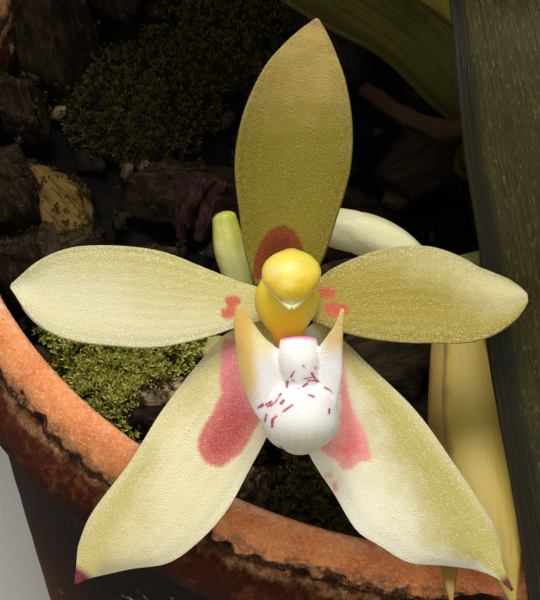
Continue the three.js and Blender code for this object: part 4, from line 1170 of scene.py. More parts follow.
olive_leaf = leaf_finish("dark_olive_leaf", srgb(31, 28, 5), srgb(59, 52, 11), srgb(27, 22, 3))
green_leaf = leaf_finish("mid_green_leaf", srgb(70, 67, 18), srgb(110, 103, 33), srgb(80, 72, 20))
young_leaf = leaf_finish("young_green_leaf", srgb(50, 58, 20), srgb(88, 94, 38), srgb(96, 92, 42))
LEAF_LOOKS = {"leaf_right": olive_leaf, "leaf_low_right": olive_leaf, "leaf_young": young_leaf}
for leaf_name, (base, azimuth, width, spine) in LEAVES.items():
    place, length = leaf_place(base, azimuth, width, spine)
    form = blade(place, leaf_thickness, 130, 40, midrib)
    leaf_skin = Skin().add_form(form, (length, width / 2, 3), (azimuth, 0, 0), across=form[2][:, 1:2])
    leaf_skin.piece(f"{leaf_name}_blade", LEAF_LOOKS.get(leaf_name, green_leaf), "leaf", [leaf_name])

# %% [markdown]
# ## Dried sheaths and the old flower stalk
#
# When a leaf falls, its base stays round the stem as brown paper. A stalk that has flowered dries as
# well. Both have coarse fibres that run lengthwise, so one finish with strongly stretched noise does for
# them.

# %% Papery sheaths and the stalk
SHEET_THICKNESS = 0.62
SHEATHS = {  # height of the base, azimuth and length
    "old_sheath_front": (78, -138, 8.5),
    "old_sheath_low": (72.4, 165, 5),
}


def sheath_place(base, azimuth, height):
    middle = math.radians(azimuth)
    seat = stem_radius_at(base) + PIECE_GAP + SHEET_THICKNESS / 2

    def place(along, across):
        ragged = 0.06 * np.sin(17 * across) * np.clip(along * 2 - 1, 0, 1)
        angle = middle + across * (0.5 - 0.25 * along)
        reach = seat + 1.6 * along**2 + 0.12 * np.sin(9 * across + 5 * along) * along
        spread = np.stack([np.cos(angle), np.sin(angle), np.zeros_like(angle)], axis=-1) * reach[..., None]
        return stem_line.at(stem_share(base + height * (along + ragged * 0.5))) + spread

    return place


def sheath_thickness(along, across):
    return SHEET_THICKNESS * (1 - 0.5 * along)


dried = Finish("dried_paper", Roughness=0.85, Specular_IOR_Level=0.15)
dried_fibre = dried.fibres((0.25, 3.0), 1.5, 5.0, 0.7)
dried_patch = dried.grain(dried.place(), 0.35, 4.0)
dried_colour = dried.paint(
    srgb(26, 15, 5),
    (srgb(52, 32, 12), dried_fibre.step(0.35, 0.68)),
    (srgb(26, 16, 8), dried_patch.step(0.5, 0.66) * 0.75),
    (srgb(76, 52, 24), dried_fibre.step(0.66, 0.76) * 0.5),
)
dried_look = dried.feed(
    colour=dried_colour, roughness=0.95 - dried_fibre * 0.1, height=dried_fibre, height_mm=0.25
)

for sheath_name, (base, azimuth, height) in SHEATHS.items():
    form = blade(sheath_place(base, azimuth, height), sheath_thickness, 40, 40)
    sheath_skin = Skin().add_form(form, (height, 4, 0))
    sheath_skin.piece(f"{sheath_name}_paper", dried_look, "dried_tissue", [sheath_name])

old_stalk_line = Line([(-1.8, -4.1, 88.8), (-4.6, -5.9, 89.6), (-8.2, -5.4, 91), (-11.5, -3.6, 92.4)])


def stalk_wrinkle(along, turn):
    return 1 + 0.07 * np.sin(5 * turn + 9 * along) + 0.05 * np.sin(31 * along + 2 * turn)


old_stalk_form = rod(old_stalk_line, 110, 28, tapered(1.15, 0.65), wrinkle=stalk_wrinkle)
old_stalk = Skin().add_form(old_stalk_form, (13, 7, 0))
old_stalk.piece("old_stalk_paper", dried_look, "dried_tissue", ["old_flower_stalk"])

# %% [markdown]
# ## The spike and the ovaries
#
# The flowers sit on a short zigzag stalk, each above a small bract, and the youngest buds are at its tip.
# Below every flower of an orchid is its ovary, which looks like a ribbed piece of stalk. These are rods
# again: the bract is a flat one, the bud a swollen one, and the ovary's ribs are a wrinkle round it. Some
# ovaries are cream and some still green, so each carries how green it is.

# %% The spike with bracts and buds
peduncle_line = Line([
    (-0.2, -6.4, 73.4), (-4.2, -12.8, 79.6), (-11, -21, 87), on_flower(1, 0, -15),
    on_flower(-0.6, -2, -14.2), on_flower(-2.6, -4.4, -13), on_flower(-4.4, -6.6, -12.2),
])
BRACTS = [(0.22, 1), (0.42, 3.6), (0.6, 0.4), (0.93, 2.2)]  # how far up the stalk, and turned how far
BUDS = [  # line and radius
    ([(-2.6, -4.4, -13), (-4.2, -3.6, -13.8), (-6.6, -3.4, -12.6)], 1.35),
    ([(-3.6, -5.6, -12.6), (-3.4, -7.2, -13.6), (-2.6, -9.2, -13)], 1.2),
    ([(-4.4, -6.6, -12.2), (-5.4, -7.6, -12), (-6.8, -8.8, -11.2)], 1.0),
]
BUD_SWELLING = [(0, 0.45), (0.4, 0.5), (0.6, 0.9), (0.8, 1), (0.95, 0.6), (1, 0.3)]


def ribbed(depth, ribs):
    """Soft ribs round a rod."""
    return lambda along, turn: 1 + depth * np.sin(ribs * turn)


def bud_seams(along, turn):
    return 1 - 0.06 * np.abs(np.sin(1.5 * turn)) ** 6


spike_skin = Skin()
peduncle_form = rod(peduncle_line, 200, 26, tapered(1.15, 0.7), wrinkle=ribbed(0.03, 7))
spike_skin.add_form(peduncle_form, (70, 7, 0), bud=0.0)
for share, turn in BRACTS:
    centre, forward = peduncle_line.at(share), peduncle_line.heading(share)
    aside = unit(np.cross((math.cos(turn), math.sin(turn), 0), forward))
    bract_line = Line([centre, centre + 1.6 * forward + 1.3 * aside, centre + 3.2 * forward + 2.1 * aside])
    bract_form = rod(bract_line, 30, 24, tapered(1.1, 0.165), tapered(0.55, 0.275), wrinkle=ribbed(0.04, 9))
    spike_skin.add_form(bract_form, (4, 5, 0), bud=0.4)
for bud_points, bud_radius in BUDS:
    swelling = by_stations(BUD_SWELLING, bud_radius)
    bud_form = rod(flower_line(bud_points), 44, 30, swelling, wrinkle=bud_seams)
    spike_skin.add_form(bud_form, (5, 6, 0), bud=1.0)

spike_green = tissue("spike_green", 0.2, (0.8, 0.9, 0.3), Roughness=0.5)
spike_fibre = spike_green.fibres((0.4, 2.2), 1.3)
spike_speck = spike_green.cells(spike_green.place(), 2.4)
spike_colour = spike_green.paint(
    srgb(104, 112, 48),
    (srgb(146, 148, 76), spike_fibre.step(0.35, 0.65)),
    (srgb(196, 184, 120), spike_green.stored("bud", "Fac") * 0.7),
    (srgb(112, 62, 40), spike_speck.step(0.2, 0.08) * 0.6),
)
spike_look = spike_green.feed(
    colour=spike_colour, roughness=0.6 - spike_fibre * 0.2, height=spike_fibre, height_mm=0.08
)
spike_skin.piece("spike_with_buds", spike_look, "flower_stalk", ["flower_spike"])

# %% The ovaries
OVARY_RADIUS = 1.3
OVARIES = {  # how green it is, its line, and its widths
    "main_ovary": (0.5,
        [(0.5, 0.6, -13.2), (0.5, 0.7, -9), (0.2, 0.3, -4.5), (0, 0, -1.4)],
        [(0, 0.6), (0.4, 0.75), (0.7, 1), (1, 0.95)]),
    "fading_ovary": (0.15,
        [(2.0, 2.0, -15.9), (1.2, 4.4, -14), (2.4, 6.5, -12.6), (5.2, 6.3, -12), (8.4, 5.1, -12),
         (10.7, 3.5, -12)],
        [(0, 0.55), (0.3, 0.75), (0.5, 1.25), (0.75, 1.35), (1, 1.0)]),
    "spent_ovary": (1.0,
        [(-1.9, -0.9, -13.2), (-3.3, 1, -12.6), (-4.4, 4, -12.1), (-5.1, 7.4, -12)],
        [(0, 0.5), (0.35, 0.75), (0.7, 1.0), (1, 0.8)]),
}


def ovary_ribs(along, turn):
    return 1 - 0.05 * np.abs(np.sin(3 * turn + 1.2 * along)) ** 3 * np.clip(along * 2, 0, 1)


ovary = tissue("ovary_wax", 0.4, (1.2, 1.0, 0.5), Roughness=0.42)
ovary_fibre = ovary.fibres((0.5, 2.4), 1.2)
ovary_beads = ovary.cells(ovary.place(), 5.0)
ovary_patch = ovary.grain(ovary.place(), 0.25, 3.0)
green_foot = ovary.part(ovary.stored("lie"), "X").step(5.0, 0.0) * 0.5
ovary_green = ovary.stored("green", "Fac") * (ovary_patch.step(0.7, 0.4) * 0.4 + 0.55)
ovary_colour = ovary.paint(
    srgb(220, 211, 132),
    (srgb(239, 234, 190), (ovary_patch + ovary_fibre * 0.2).step(0.45, 0.7)),
    (srgb(186, 186, 76), ovary_green.larger(green_foot)),
)
ovary_look = ovary.feed(
    colour=ovary_colour, roughness=0.5 - ovary_fibre * 0.15, height=ovary_beads, height_mm=0.03
)
for ovary_name, (green, line_points, widths) in OVARIES.items():
    ovary_line = flower_line(line_points)
    form = rod(ovary_line, 90, 42, by_stations(widths, OVARY_RADIUS), wrinkle=ovary_ribs)
    ovary_skin = Skin().add_form(form, (ovary_line.length, 8, 0), green=green)
    ovary_skin.piece(f"{ovary_name}_ribbed", ovary_look, "ovary", [ovary_name])

# %% [markdown]
# ## Sepals and petals
#
# The three sepals and two petals are fleshy blades. Each solid is a spine with a half-width to either
# side, and the finer blade uses the same numbers with many more rows. It thins towards its margins and
# has a few faint veins. Painting the red blotches on a texture would be usual, but a mesh this fine can
# keep at each point how far inside a blotch it is, and the finish turns that into a soft ragged edge.

# %% Forms of the five blades
FULL_CUP_WIDTH = 3


def same(stations):
    return {"left": stations, "right": stations}


def first_side(across):
    """0 on the second side, and rising to 1 at the margin of the first, where across is -1."""
    return np.maximum(0, -across) ** 2


def second_side(across):
    return np.maximum(0, across) ** 2


TEPALS = {  # spine, half-widths to either side, rise along the spine, and cupping of the sides
    "dorsal_sepal": {
        "spine": [(-0.6, 1.75), (-0.15, 6), (0.4, 11.7), (1.2, 17.5), (2.26, 22.6)],
        **same([(0, 1.9), (0.12, 3.0), (0.27, 3.75), (0.41, 4.35), (0.5, 4.47), (0.63, 4.2), (0.78, 3.28),
                (0.87, 2.3), (0.95, 1.1), (1, 0.12)]),
        "rise": lambda s: -2.2 + 4.4 * s**1.6,
        "cup": lambda s, q: 1.5 * q * q * np.sin(math.pi * np.minimum(1, 0.12 + s)).clip(0, 1) ** 0.7,
    },
    "petal_left": {
        "spine": [(-1.75, 0.45), (-6.9, 0.55), (-13.1, 1.1), (-17.9, 1.4), (-21.6, 1.87)],
        **same([(0, 1.2), (0.09, 1.68), (0.25, 2.8), (0.41, 3.7), (0.55, 3.9), (0.73, 3.7), (0.82, 3.2),
                (0.89, 2.4), (0.95, 1.25), (1, 0.15)]),
        "rise": lambda s: -0.9 + 1.6 * s,
        "cup": lambda s, q: 0.7 * q * q * s - 0.5 * np.sin(2.6 * s) * q,
    },
    "petal_right": {
        "spine": [(1.75, 0.45), (5.6, 0.97), (10.3, 1.2), (14.5, 0.5), (18.7, 0.95)],
        **same([(0, 1.3), (0.12, 2.45), (0.31, 3.46), (0.5, 3.78), (0.68, 3.3), (0.82, 2.55), (0.92, 1.65),
                (0.97, 0.95), (1, 0.3)]),
        "rise": lambda s: -0.9 + 1.2 * s,
        "cup": lambda s, q: -1.6 * first_side(q) * s + 0.5 * second_side(q),
    },
    "lateral_sepal_left": {
        "spine": [(-1.45, -1.15), (-9.1, -11.5), (-16.54, -21.3)],
        "left": [(0, 1.2), (0.12, 3.0), (0.25, 4.75), (0.4, 5.46), (0.55, 5.95), (0.68, 5.6), (0.78, 4.7),
                 (0.86, 2.7), (0.93, 1.2), (0.97, 0.45), (1, 0.1)],
        "right": [(0, 1.0), (0.06, 1.75), (0.12, 2.4), (0.4, 2.73), (0.6, 2.34), (0.8, 2.26), (0.9, 1.56),
                  (0.96, 0.7), (1, 0.12)],
        "rise": lambda s: -2.1 + 2.9 * s**1.3,
        "cup": lambda s, q: (
            -0.9 * first_side(q) * s - 0.5 * second_side(q) + 0.25 * np.sin(11 * s + 1) * q * q
        ),
    },
    "lateral_sepal_right": {
        "spine": [(1.75, -1.2), (9.8, -11.6), (17.47, -21.84)],
        "left": [(0, 0.8), (0.07, 1.2), (0.2, 1.64), (0.4, 2.38), (0.6, 2.26), (0.8, 1.87), (0.86, 1.4),
                 (0.92, 0.6), (1, 0.1)],
        "right": [(0, 1.2), (0.1, 3.2), (0.2, 5.0), (0.3, 6.2), (0.45, 6.6), (0.58, 6.9), (0.66, 6.15),
                  (0.75, 5.1), (0.82, 3.0), (0.88, 1.4), (0.94, 0.4), (1, 0.1)],
        "rise": lambda s: -2.1 + 2.9 * s**1.3,
        "cup": lambda s, q: (
            -1.0 * second_side(q) * s - 0.4 * first_side(q) + 0.25 * np.sin(10 * s + 2) * q * q
        ),
    },
}


def tepal_place(spine, left, right, rise, cup):
    line = Line([(x, y, 0) for x, y in spine])

    def place(along, across):
        centre, forward = line.at(along), line.heading(along)
        left_half, right_half = between_stations(left, along), between_stations(right, along)
        half = np.where(across < 0, left_half, right_half) * across
        fullness = np.minimum(1, (left_half + right_half) / FULL_CUP_WIDTH) ** 2
        out = rise(along) + fullness * cup(along, across)
        across_flower = centre[..., 0] + forward[..., 1] * half
        up_flower = centre[..., 1] - forward[..., 0] * half
        return on_flower(across_flower, up_flower, out)

    return place


def tepal_thickness(along, across):
    return SHEET_THICKNESS * (1 - 0.55 * across**4) * np.clip((1.01 - along) * 12, 0.35, 1)


def tepal_veins(along, across):
    veins = np.cos(across * 9 * math.pi / 2) ** 6
    return -0.05 * veins * np.clip(3 * along, 0, 1) * np.clip(2 * (1 - along), 0, 1) - 0.05 * (1 - across**2)


# %% Outlines of the blotches, in the flower's own millimetres
BLOTCHES = {
    "dorsal_sepal": [[
        (-2.8, 2.4), (-2.65, 4.2), (-2.1, 5.4), (-1.3, 6.3), (-0.4, 6.7), (0.4, 6.3), (0.95, 5.5),
        (1.25, 4.5), (1.2, 2.4)]],
    "petal_left": [[
        (-4.95, 0.95), (-4.3, 1.15), (-3.7, 1.0), (-3.68, 0.5), (-4.0, 0.25), (-4.05, -0.2), (-4.2, -0.65),
        (-4.8, -0.75), (-5.25, -0.5), (-5.2, 0.05), (-4.75, 0.25), (-4.9, 0.55)]],
    "petal_right": [
        [(2.4, 1.75), (3.1, 1.8), (3.75, 1.45), (3.6, 0.95), (2.9, 0.85), (2.5, 1.15)],
        [(2.8, 0.45), (3.6, 0.62), (4.6, 0.3), (4.8, -0.15), (4.2, -0.55), (3.3, -0.5), (2.85, -0.1)]],
    "lateral_sepal_left": [[
        (-5.05, -2.35), (-4.15, -2.3), (-3.9, -3.2), (-3.6, -4.3), (-3.1, -5.8), (-2.5, -7.2), (-2.0, -8.5),
        (-2.6, -9.4), (-3.1, -10.3), (-3.6, -11.1), (-4.4, -11.8), (-5.2, -12.3), (-5.95, -12.25),
        (-6.65, -11.7), (-7.05, -10.9), (-7.0, -10.0), (-6.6, -9.0), (-6.0, -8.1), (-5.6, -7.3), (-5.2, -6.5),
        (-5.3, -5.5), (-5.25, -3.7)]],
    "lateral_sepal_right": [
        [(4.15, -2.7), (4.45, -3.9), (4.5, -5.1), (4.7, -6.6), (5.1, -8.0), (5.8, -9.0), (6.25, -9.9),
         (6.4, -10.9), (6.7, -11.7), (6.1, -11.85), (5.6, -11.9), (5.0, -12.5), (4.2, -12.5), (3.9, -11.9),
         (3.3, -11.5), (2.65, -11.1), (2.35, -10.8), (3.0, -10.3), (3.75, -9.8), (4.0, -9.0), (4.15, -7.9),
         (4.15, -5.5)],
        [(2.9, -12.8), (3.4, -12.75), (3.45, -13.1), (2.95, -13.1)],
        [(3.45, -13.5), (3.8, -13.4), (3.95, -14.1), (3.6, -14.2)]],
}


def from_segment(x, y, start, end):
    """How far points are from the straight stroke between two places."""
    (x0, y0), (x1, y1) = start, end
    squared_length = (x1 - x0) ** 2 + (y1 - y0) ** 2
    share = np.clip(((x - x0) * (x1 - x0) + (y - y0) * (y1 - y0)) / squared_length, 0, 1)
    return np.hypot(x - x0 - share * (x1 - x0), y - y0 - share * (y1 - y0))


def inside_outline(x, y, outline):
    """How far points are inside a closed outline, in its own units. Outside it is below zero."""
    nearest = np.full(x.shape, np.inf)
    inside = np.zeros(x.shape, bool)
    for (x0, y0), (x1, y1) in zip(outline, outline[1:] + outline[:1]):
        nearest = np.minimum(nearest, from_segment(x, y, (x0, y0), (x1, y1)))
        crosses = (y0 > y) != (y1 > y)
        with np.errstate(divide="ignore", invalid="ignore"):
            inside ^= crosses & (x < x0 + (y - y0) * (x1 - x0) / (y1 - y0))
    return np.where(inside, nearest, -nearest)


def inside_any(points, outlines):
    across, up, _ = in_flower(points).T
    return np.max([inside_outline(across, up, outline) for outline in outlines], axis=0)


print("blotch outlines:", {name: len(outlines) for name, outlines in BLOTCHES.items()})

# %% [markdown]
# Fresh tepals glisten, because their skin is made of tiny beads of clear cells. In the finish a fine cell
# pattern gives the relief of the beads, and a fine noise scatters bright specks over them as painted
# highlights. The two lower blotches turn mauve at their upper ends. Light also soaks into the flesh and
# comes out again on the far side. That is subsurface scattering, with a reach of one or two millimetres,
# which is more than the blade is thick.

# %% The finish that all five blades share
FLESH_REACH = (1.9, 1.6, 0.8)
BEADS_PER_MM = 8.0
SPECKS_PER_MM = 8.0
PAINTED_GLINT_TONE = srgb(255, 252, 232)
MAUVE = srgb(212, 132, 146)


def tepal_finish(
    name, deep, pale, edge, blotch, tip, pale_zone, tip_start, painted_glint, soft=0.1, shine=0.5
):
    """A blade's finish. pale_zone says from along and across where it is pale instead of deep.

    blotch is the tone of a blotch, the tone of its heart, and how mauve its upper end is.
    """
    stain_tone, stain_heart, mauve_share = blotch
    flesh = tissue(name, 0.3, FLESH_REACH, Specular_IOR_Level=shine)
    spot = flesh.place()
    lie = flesh.stored("lie")
    along, across = flesh.part(lie, "X"), flesh.part(lie, "Y")
    beads = flesh.cells(spot, BEADS_PER_MM)
    speckle = flesh.grain(spot, SPECKS_PER_MM, 1.5, 0.8)
    cloud = flesh.grain(spot, 0.3, 4.0, 0.6)
    margin = abs(across).step(0.5, 1.0)
    depth = flesh.stored("marks", "Fac") + (cloud - 0.5) * 0.3
    stain = (depth + (speckle - 0.5) * (0.5 + soft * 1.5)).step(-soft, soft)
    # Painted highlights: bright glint specks, stronger at the margins.
    painted_glitter = speckle.step(0.53, 0.68) * (0.5 + margin * 0.45) * (1 - stain * 0.4)
    colour = flesh.paint(
        deep,
        (pale, (pale_zone(along, across) + (cloud - 0.5) * 0.7).step(0.1, 0.9)),
        (edge, margin * (0.25 + speckle.step(0.48, 0.36) * 0.3)),
        (stain_tone, stain * 0.96),
        (stain_heart, depth.step(0.3, 1.2) * 0.7),
        (MAUVE, stain * along.step(0.34, 0.14) * mauve_share),
        (PAINTED_GLINT_TONE, painted_glitter * painted_glint),
        (tip, (along + (cloud - 0.5) * 0.02).step(tip_start, tip_start + 0.03)),
    )
    return flesh.feed(colour=colour, roughness=0.3 + beads * 0.45, height=beads * -1.0, height_mm=0.05)


RED_BLOTCH = (srgb(208, 100, 92), srgb(174, 46, 52), 0.6)
# The red blotch painted lighter, as painted light.
RED_BLOTCH_PAINTED_LIGHT = (srgb(250, 150, 144), srgb(226, 92, 96), 0.4)
BRICK_MARKS = (srgb(206, 90, 66), srgb(184, 62, 44), 0.0)
# The red blotch painted darker, as painted shade.
RED_BLOTCH_PAINTED_SHADE = (srgb(128, 54, 4), srgb(108, 30, 0), 0.0)
CRIMSON = srgb(96, 12, 34)
TEPAL_LOOKS = {
    # The dorsal sepal is the tissue of the other blades painted dark olive, as painted shade.
    "dorsal_sepal": ("tepal_olive", tepal_finish(
        "olive_tepal_painted_shade", srgb(134, 120, 24), srgb(184, 158, 86), srgb(96, 86, 20),
        RED_BLOTCH_PAINTED_SHADE, srgb(176, 140, 92),
        lambda along, across: along * 1.5 - 0.55, 0.955, painted_glint=0.16, shine=0.25)),
    # The two petals are one tissue: the left one is painted paler, as painted light.
    "petal_left": ("tepal_cream", tepal_finish(
        "cream_petal_painted_light", srgb(202, 192, 118), srgb(220, 211, 170), srgb(170, 158, 84),
        BRICK_MARKS, srgb(206, 196, 150),
        lambda along, across: along * 0.8 + 0.2 - across * 0.45, 0.985, painted_glint=0.62)),
    # The right petal is painted darker, as painted shade, and its pale zone at the turned-back upper margin
    # is a painted highlight.
    "petal_right": ("tepal_olive", tepal_finish(
        "yellow_petal_painted_shade_and_highlight", srgb(166, 148, 52), srgb(202, 192, 140), srgb(130, 116, 36),
        BRICK_MARKS, srgb(200, 180, 120),
        lambda along, across: along * 1.3 - 0.5 - across * 0.5, 0.985, painted_glint=0.42, shine=0.35)),
    "lateral_sepal_left": ("tepal_cream", tepal_finish(
        "cream_sepal_left", srgb(192, 178, 104), srgb(236, 224, 178), srgb(238, 230, 190),
        RED_BLOTCH, CRIMSON,
        lambda along, across: 0.85 - abs(along - 0.45) * 1.5 - across * 0.6, 0.94, soft=0.2, painted_glint=0.68)),
    # Painted light: the right lateral sepal is painted whiter near the lip, and its blotch lighter, to lift
    # the lip's shadow.
    "lateral_sepal_right": ("tepal_cream", tepal_finish(
        "cream_sepal_right_painted_light", srgb(186, 172, 90), srgb(248, 240, 210), srgb(240, 232, 192),
        RED_BLOTCH_PAINTED_LIGHT, CRIMSON,
        lambda along, across: 0.62 - along * 0.8 + across * 0.95, 0.94, soft=0.2, painted_glint=0.68)),
}
for tepal_name, tepal in TEPALS.items():
    points, faces, lie = blade(tepal_place(**tepal), tepal_thickness, 110, 44, tepal_veins)
    marks = inside_any(points, BLOTCHES[tepal_name])
    slot, look = TEPAL_LOOKS[tepal_name]
    tepal_skin = Skin().add(points, faces, lie=lie, marks=marks)
    tepal_skin.piece(f"{tepal_name}_blade", look, slot, [tepal_name])

# %% [markdown]
# ## Column and anther cap
#
# In an orchid, stamen and pistil are grown together into one column. Here it is a waxy yellow pillar that
# turns orange at its foot, and the pollen hides under a glossy cap with a small beak. A pale ridge edges
# the cap in a V. Column and cap are rods with a flattened section. The ridge is a thin rod of its own.

# %% Column, cap and the pale ridge
column_line = flower_line([(0.1, -3.0, 0.2), (0, -1.6, 0.6), (-0.1, 0.2, 1.1), (0.1, 2.4, 1.6)])
column_widths = by_stations([(0, 0.8), (0.25, 1.3), (0.5, 2.2), (0.75, 2.45), (1, 2.0)])
column_depths = by_stations([(0, 0.5), (0.25, 0.9), (0.6, 1.7), (0.85, 1.8), (1, 1.3)])


def column_dents(along, turn):
    """A hollow in the middle of the front, between two soft ridges."""
    front = np.exp(-(((turn - 1.5 * math.pi) / 0.35) ** 2))
    return 1 - 0.14 * front * np.clip(1.4 - along * 1.2, 0, 1) + 0.03 * np.cos(4 * turn)


points, faces, lie = rod(
    column_line, 90, 64, column_widths, column_depths, end_bulge=0.35, wrinkle=column_dents
)
column_skin = Skin().add(points, faces, lie=lie, bloom=in_flower(points))

cap_line = flower_line([(0.25, 4.0, 2.9), (0.25, 3.1, 4.3), (0.25, 1.8, 5.1), (0.25, 0.3, 4.9)])
cap_widths = by_stations([(0, 1.0), (0.25, 2.1), (0.5, 2.25), (0.75, 1.6), (1, 0.2)])
cap_depths = by_stations([(0, 0.9), (0.3, 1.35), (0.6, 1.1), (1, 0.2)])
points, faces, lie = rod(cap_line, 90, 72, cap_widths, cap_depths)
cap_skin = Skin().add(points, faces, lie=lie, bloom=in_flower(points))

# The ridge's lie is shifted past the end of the cap, so that the finish gives it the beak's pale tone.
PAST_THE_BEAK = (5, 0, 0)
ridge_line = flower_line([
    (-2.0, 2.6, 4.15), (-1.75, 1.95, 4.35), (-0.8, 0.98, 4.85), (-0.1, 0.35, 5.1), (0.25, 0.16, 5.15),
    (0.6, 0.35, 5.1), (1.3, 0.98, 4.85), (2.2, 1.95, 4.35), (2.45, 2.6, 4.15),
])
ridge_widths = by_stations([(0, 0.06), (0.3, 0.13), (0.5, 0.2), (0.7, 0.13), (1, 0.06)])
points, faces, lie = rod(ridge_line, 120, 16, ridge_widths)
cap_skin.add(points, faces, lie=lie + PAST_THE_BEAK, bloom=in_flower(points))


def waxy(name, **shader_values):
    return tissue(name, 0.4, (1.4, 1.0, 0.3), Roughness=0.3, Coat_Roughness=0.25, **shader_values)


column_wax = waxy("column_wax")
column_bloom = column_wax.stored("bloom")
column_x, column_y = column_wax.part(column_bloom, "X"), column_wax.part(column_bloom, "Y")
column_beads = column_wax.cells(column_wax.place(), BEADS_PER_MM)
column_cloud = column_wax.grain(column_wax.place(), 0.9, 3.0)
column_level = column_y + (column_cloud - 0.5) * 1.2
pale_flank = column_x.step(1.0, 1.9) * column_y.step(0.2, -0.8)
from_red_spot = abs(column_x + 2.3) + abs(column_y + 1.0)
column_colour = column_wax.paint(
    srgb(252, 156, 42),
    (srgb(254, 206, 30), column_level.step(-2.6, -1.0)),
    (srgb(242, 214, 56), column_level.step(-1.2, 0.8)),
    (srgb(196, 186, 62), abs(column_x + 0.1).step(1.3, 2.3) * 0.4),
    (srgb(222, 220, 150), pale_flank * 0.7),
    (srgb(176, 54, 40), (from_red_spot + column_cloud * 0.4).step(0.75, 0.35)),
)
column_look = column_wax.feed(
    colour=column_colour, roughness=0.28 + column_beads * 0.3, height=column_beads * -1.0, height_mm=0.04
)
column_skin.piece("column_pillar", column_look, "column_yellow", ["column"])

cap_wax = waxy("cap_wax", Coat_Weight=0.35)
cap_bloom = cap_wax.stored("bloom")
cap_x, cap_y = cap_wax.part(cap_bloom, "X"), cap_wax.part(cap_bloom, "Y")
cap_along = cap_wax.part(cap_wax.stored("lie"), "X")
cap_cloud = cap_wax.grain(cap_wax.place(), 0.8, 3.0)
cap_beads = cap_wax.cells(cap_wax.place(), BEADS_PER_MM)
from_green_window = abs(cap_x - 0.7) * 0.6 + abs(cap_y - 3.6)
# A peach painted highlight on the upper left of the cap.
from_painted_highlight = abs(cap_x + 1.2) + abs(cap_y - 3.0) * 0.8
cap_colour = cap_wax.paint(
    srgb(232, 195, 38),
    (srgb(242, 217, 84), (cap_cloud + (cap_y - 2.0) * 0.2).step(0.35, 0.7)),
    (srgb(206, 204, 70), from_green_window.step(1.3, 0.2) * 0.5),
    (srgb(248, 216, 150), from_painted_highlight.step(1.1, 0.1) * 0.6),
    (srgb(246, 238, 170), (cap_along + (cap_cloud - 0.5) * 0.06).step(0.86, 0.94)),
)
cap_look = cap_wax.feed(
    colour=cap_colour, roughness=0.2 + cap_beads * 0.3, height=cap_beads * -1.0, height_mm=0.03
)
cap_skin.piece("cap_with_ridge", cap_look, "cap_yellow", ["anther_cap"])

# %% [markdown]
# ## The lip
#
# The lip is one petal grown into a pouch: a rounded sac below, a short tongue above it, and two erect
# side lobes. All of them flow into each other. So the parts are laid over each other first, as rods and
# blades, and then melted: the voxel remesh fills them with small cubes and wraps one skin round the
# whole, and smoothing takes the steps away. What the finish needs is worked out afterwards, from where
# the new points are.

# %% Melting overlapping skins into one
def melted(skin, name, voxel, rounds):
    source = bpy.data.objects.new(f"{name}_parts", skin.mesh(f"{name}_parts"))
    bpy.context.scene.collection.objects.link(source)
    melt = source.modifiers.new("melt", "REMESH")
    melt.mode = "VOXEL"
    melt.voxel_size = voxel * MM
    soften = source.modifiers.new("soften", "SMOOTH")
    soften.factor = 0.5
    soften.iterations = rounds
    evaluated = source.evaluated_get(bpy.context.evaluated_depsgraph_get())
    result = bpy.data.meshes.new_from_object(evaluated)
    points = np.empty(len(result.vertices) * 3)
    result.vertices.foreach_get("co", points)
    faces = [list(face.vertices) for face in result.polygons]
    bpy.data.objects.remove(source)
    bpy.data.meshes.remove(result)
    return points.reshape(-1, 3) / MM, faces


# %% The lip's parts
FULL_LOBE_WIDTH = 3
LOBE_THICKNESS = 0.7
LIP_VOXEL, SMOOTHING_ROUNDS = 0.1, 4
LIP_BODIES = {  # line, half-widths, half-depths, bulge of the ends, steps and sides
    "sac": (
        [(1.3, -6.1, 2.3), (1.1, -7.4, 2.7), (0.95, -9.0, 2.6), (0.95, -10.5, 1.9)],
        [(0, 1.9), (0.3, 2.75), (0.6, 3.0), (0.85, 2.4), (1, 1.4)],
        [(0, 1.5), (0.3, 2.4), (0.6, 2.65), (0.85, 2.0), (1, 1.2)],
        0.5, 60, 72),
    "tongue": (
        [(0.8, -2.3, 3.3), (0.85, -3.8, 3.5), (1.15, -6.4, 3.1)],
        [(0, 1.45), (0.35, 1.6), (0.75, 1.3), (1, 1.2)],
        [(0, 0.9), (0.4, 1.25), (1, 0.85)],
        0.3, 50, 56),
    "neck": (
        [(0.3, -3.9, -0.2), (0.7, -5.2, 1.0), (1, -7, 2.2)],
        [(0, 1.3), (1, 1.3)],
        [(0, 0.9), (1, 0.9)],
        0.5, 30, 32),
}
LOBES = {
    "left": {
        "base": (-1.4, -8.4), "tip": (-3.75, 0.35), "side": 1,
        "outer": [(0, 0.7), (0.1, 1.0), (0.39, 1.25), (0.68, 0.95), (0.85, 0.75), (0.94, 0.45), (1, 0.15)],
        "inner": [(0, 1.2), (0.15, 1.8), (0.4, 2.3), (0.58, 2.1), (0.7, 1.2), (0.8, 0.75), (0.92, 0.36),
                  (1, 0.15)],
        "rise": lambda s: 2.9 + 1.9 * s,
        "curl": lambda q: -1.5 * second_side(q) - 0.8 * first_side(q),
    },
    "right": {
        "base": (3.0, -8.4), "tip": (4.2, 0.1), "side": -1,
        "outer": [(0, 0.6), (0.25, 0.6), (0.4, 0.65), (0.6, 0.42), (0.8, 0.28), (0.94, 0.22), (1, 0.15)],
        "inner": [(0, 1.0), (0.2, 1.3), (0.4, 1.5), (0.62, 1.4), (0.72, 1.0), (0.86, 0.38), (0.94, 0.24),
                  (1, 0.15)],
        "rise": lambda s: 2.9 + 1.8 * s,
        "curl": lambda q: -1.4 * second_side(q) - 0.2 * first_side(q),
    },
}


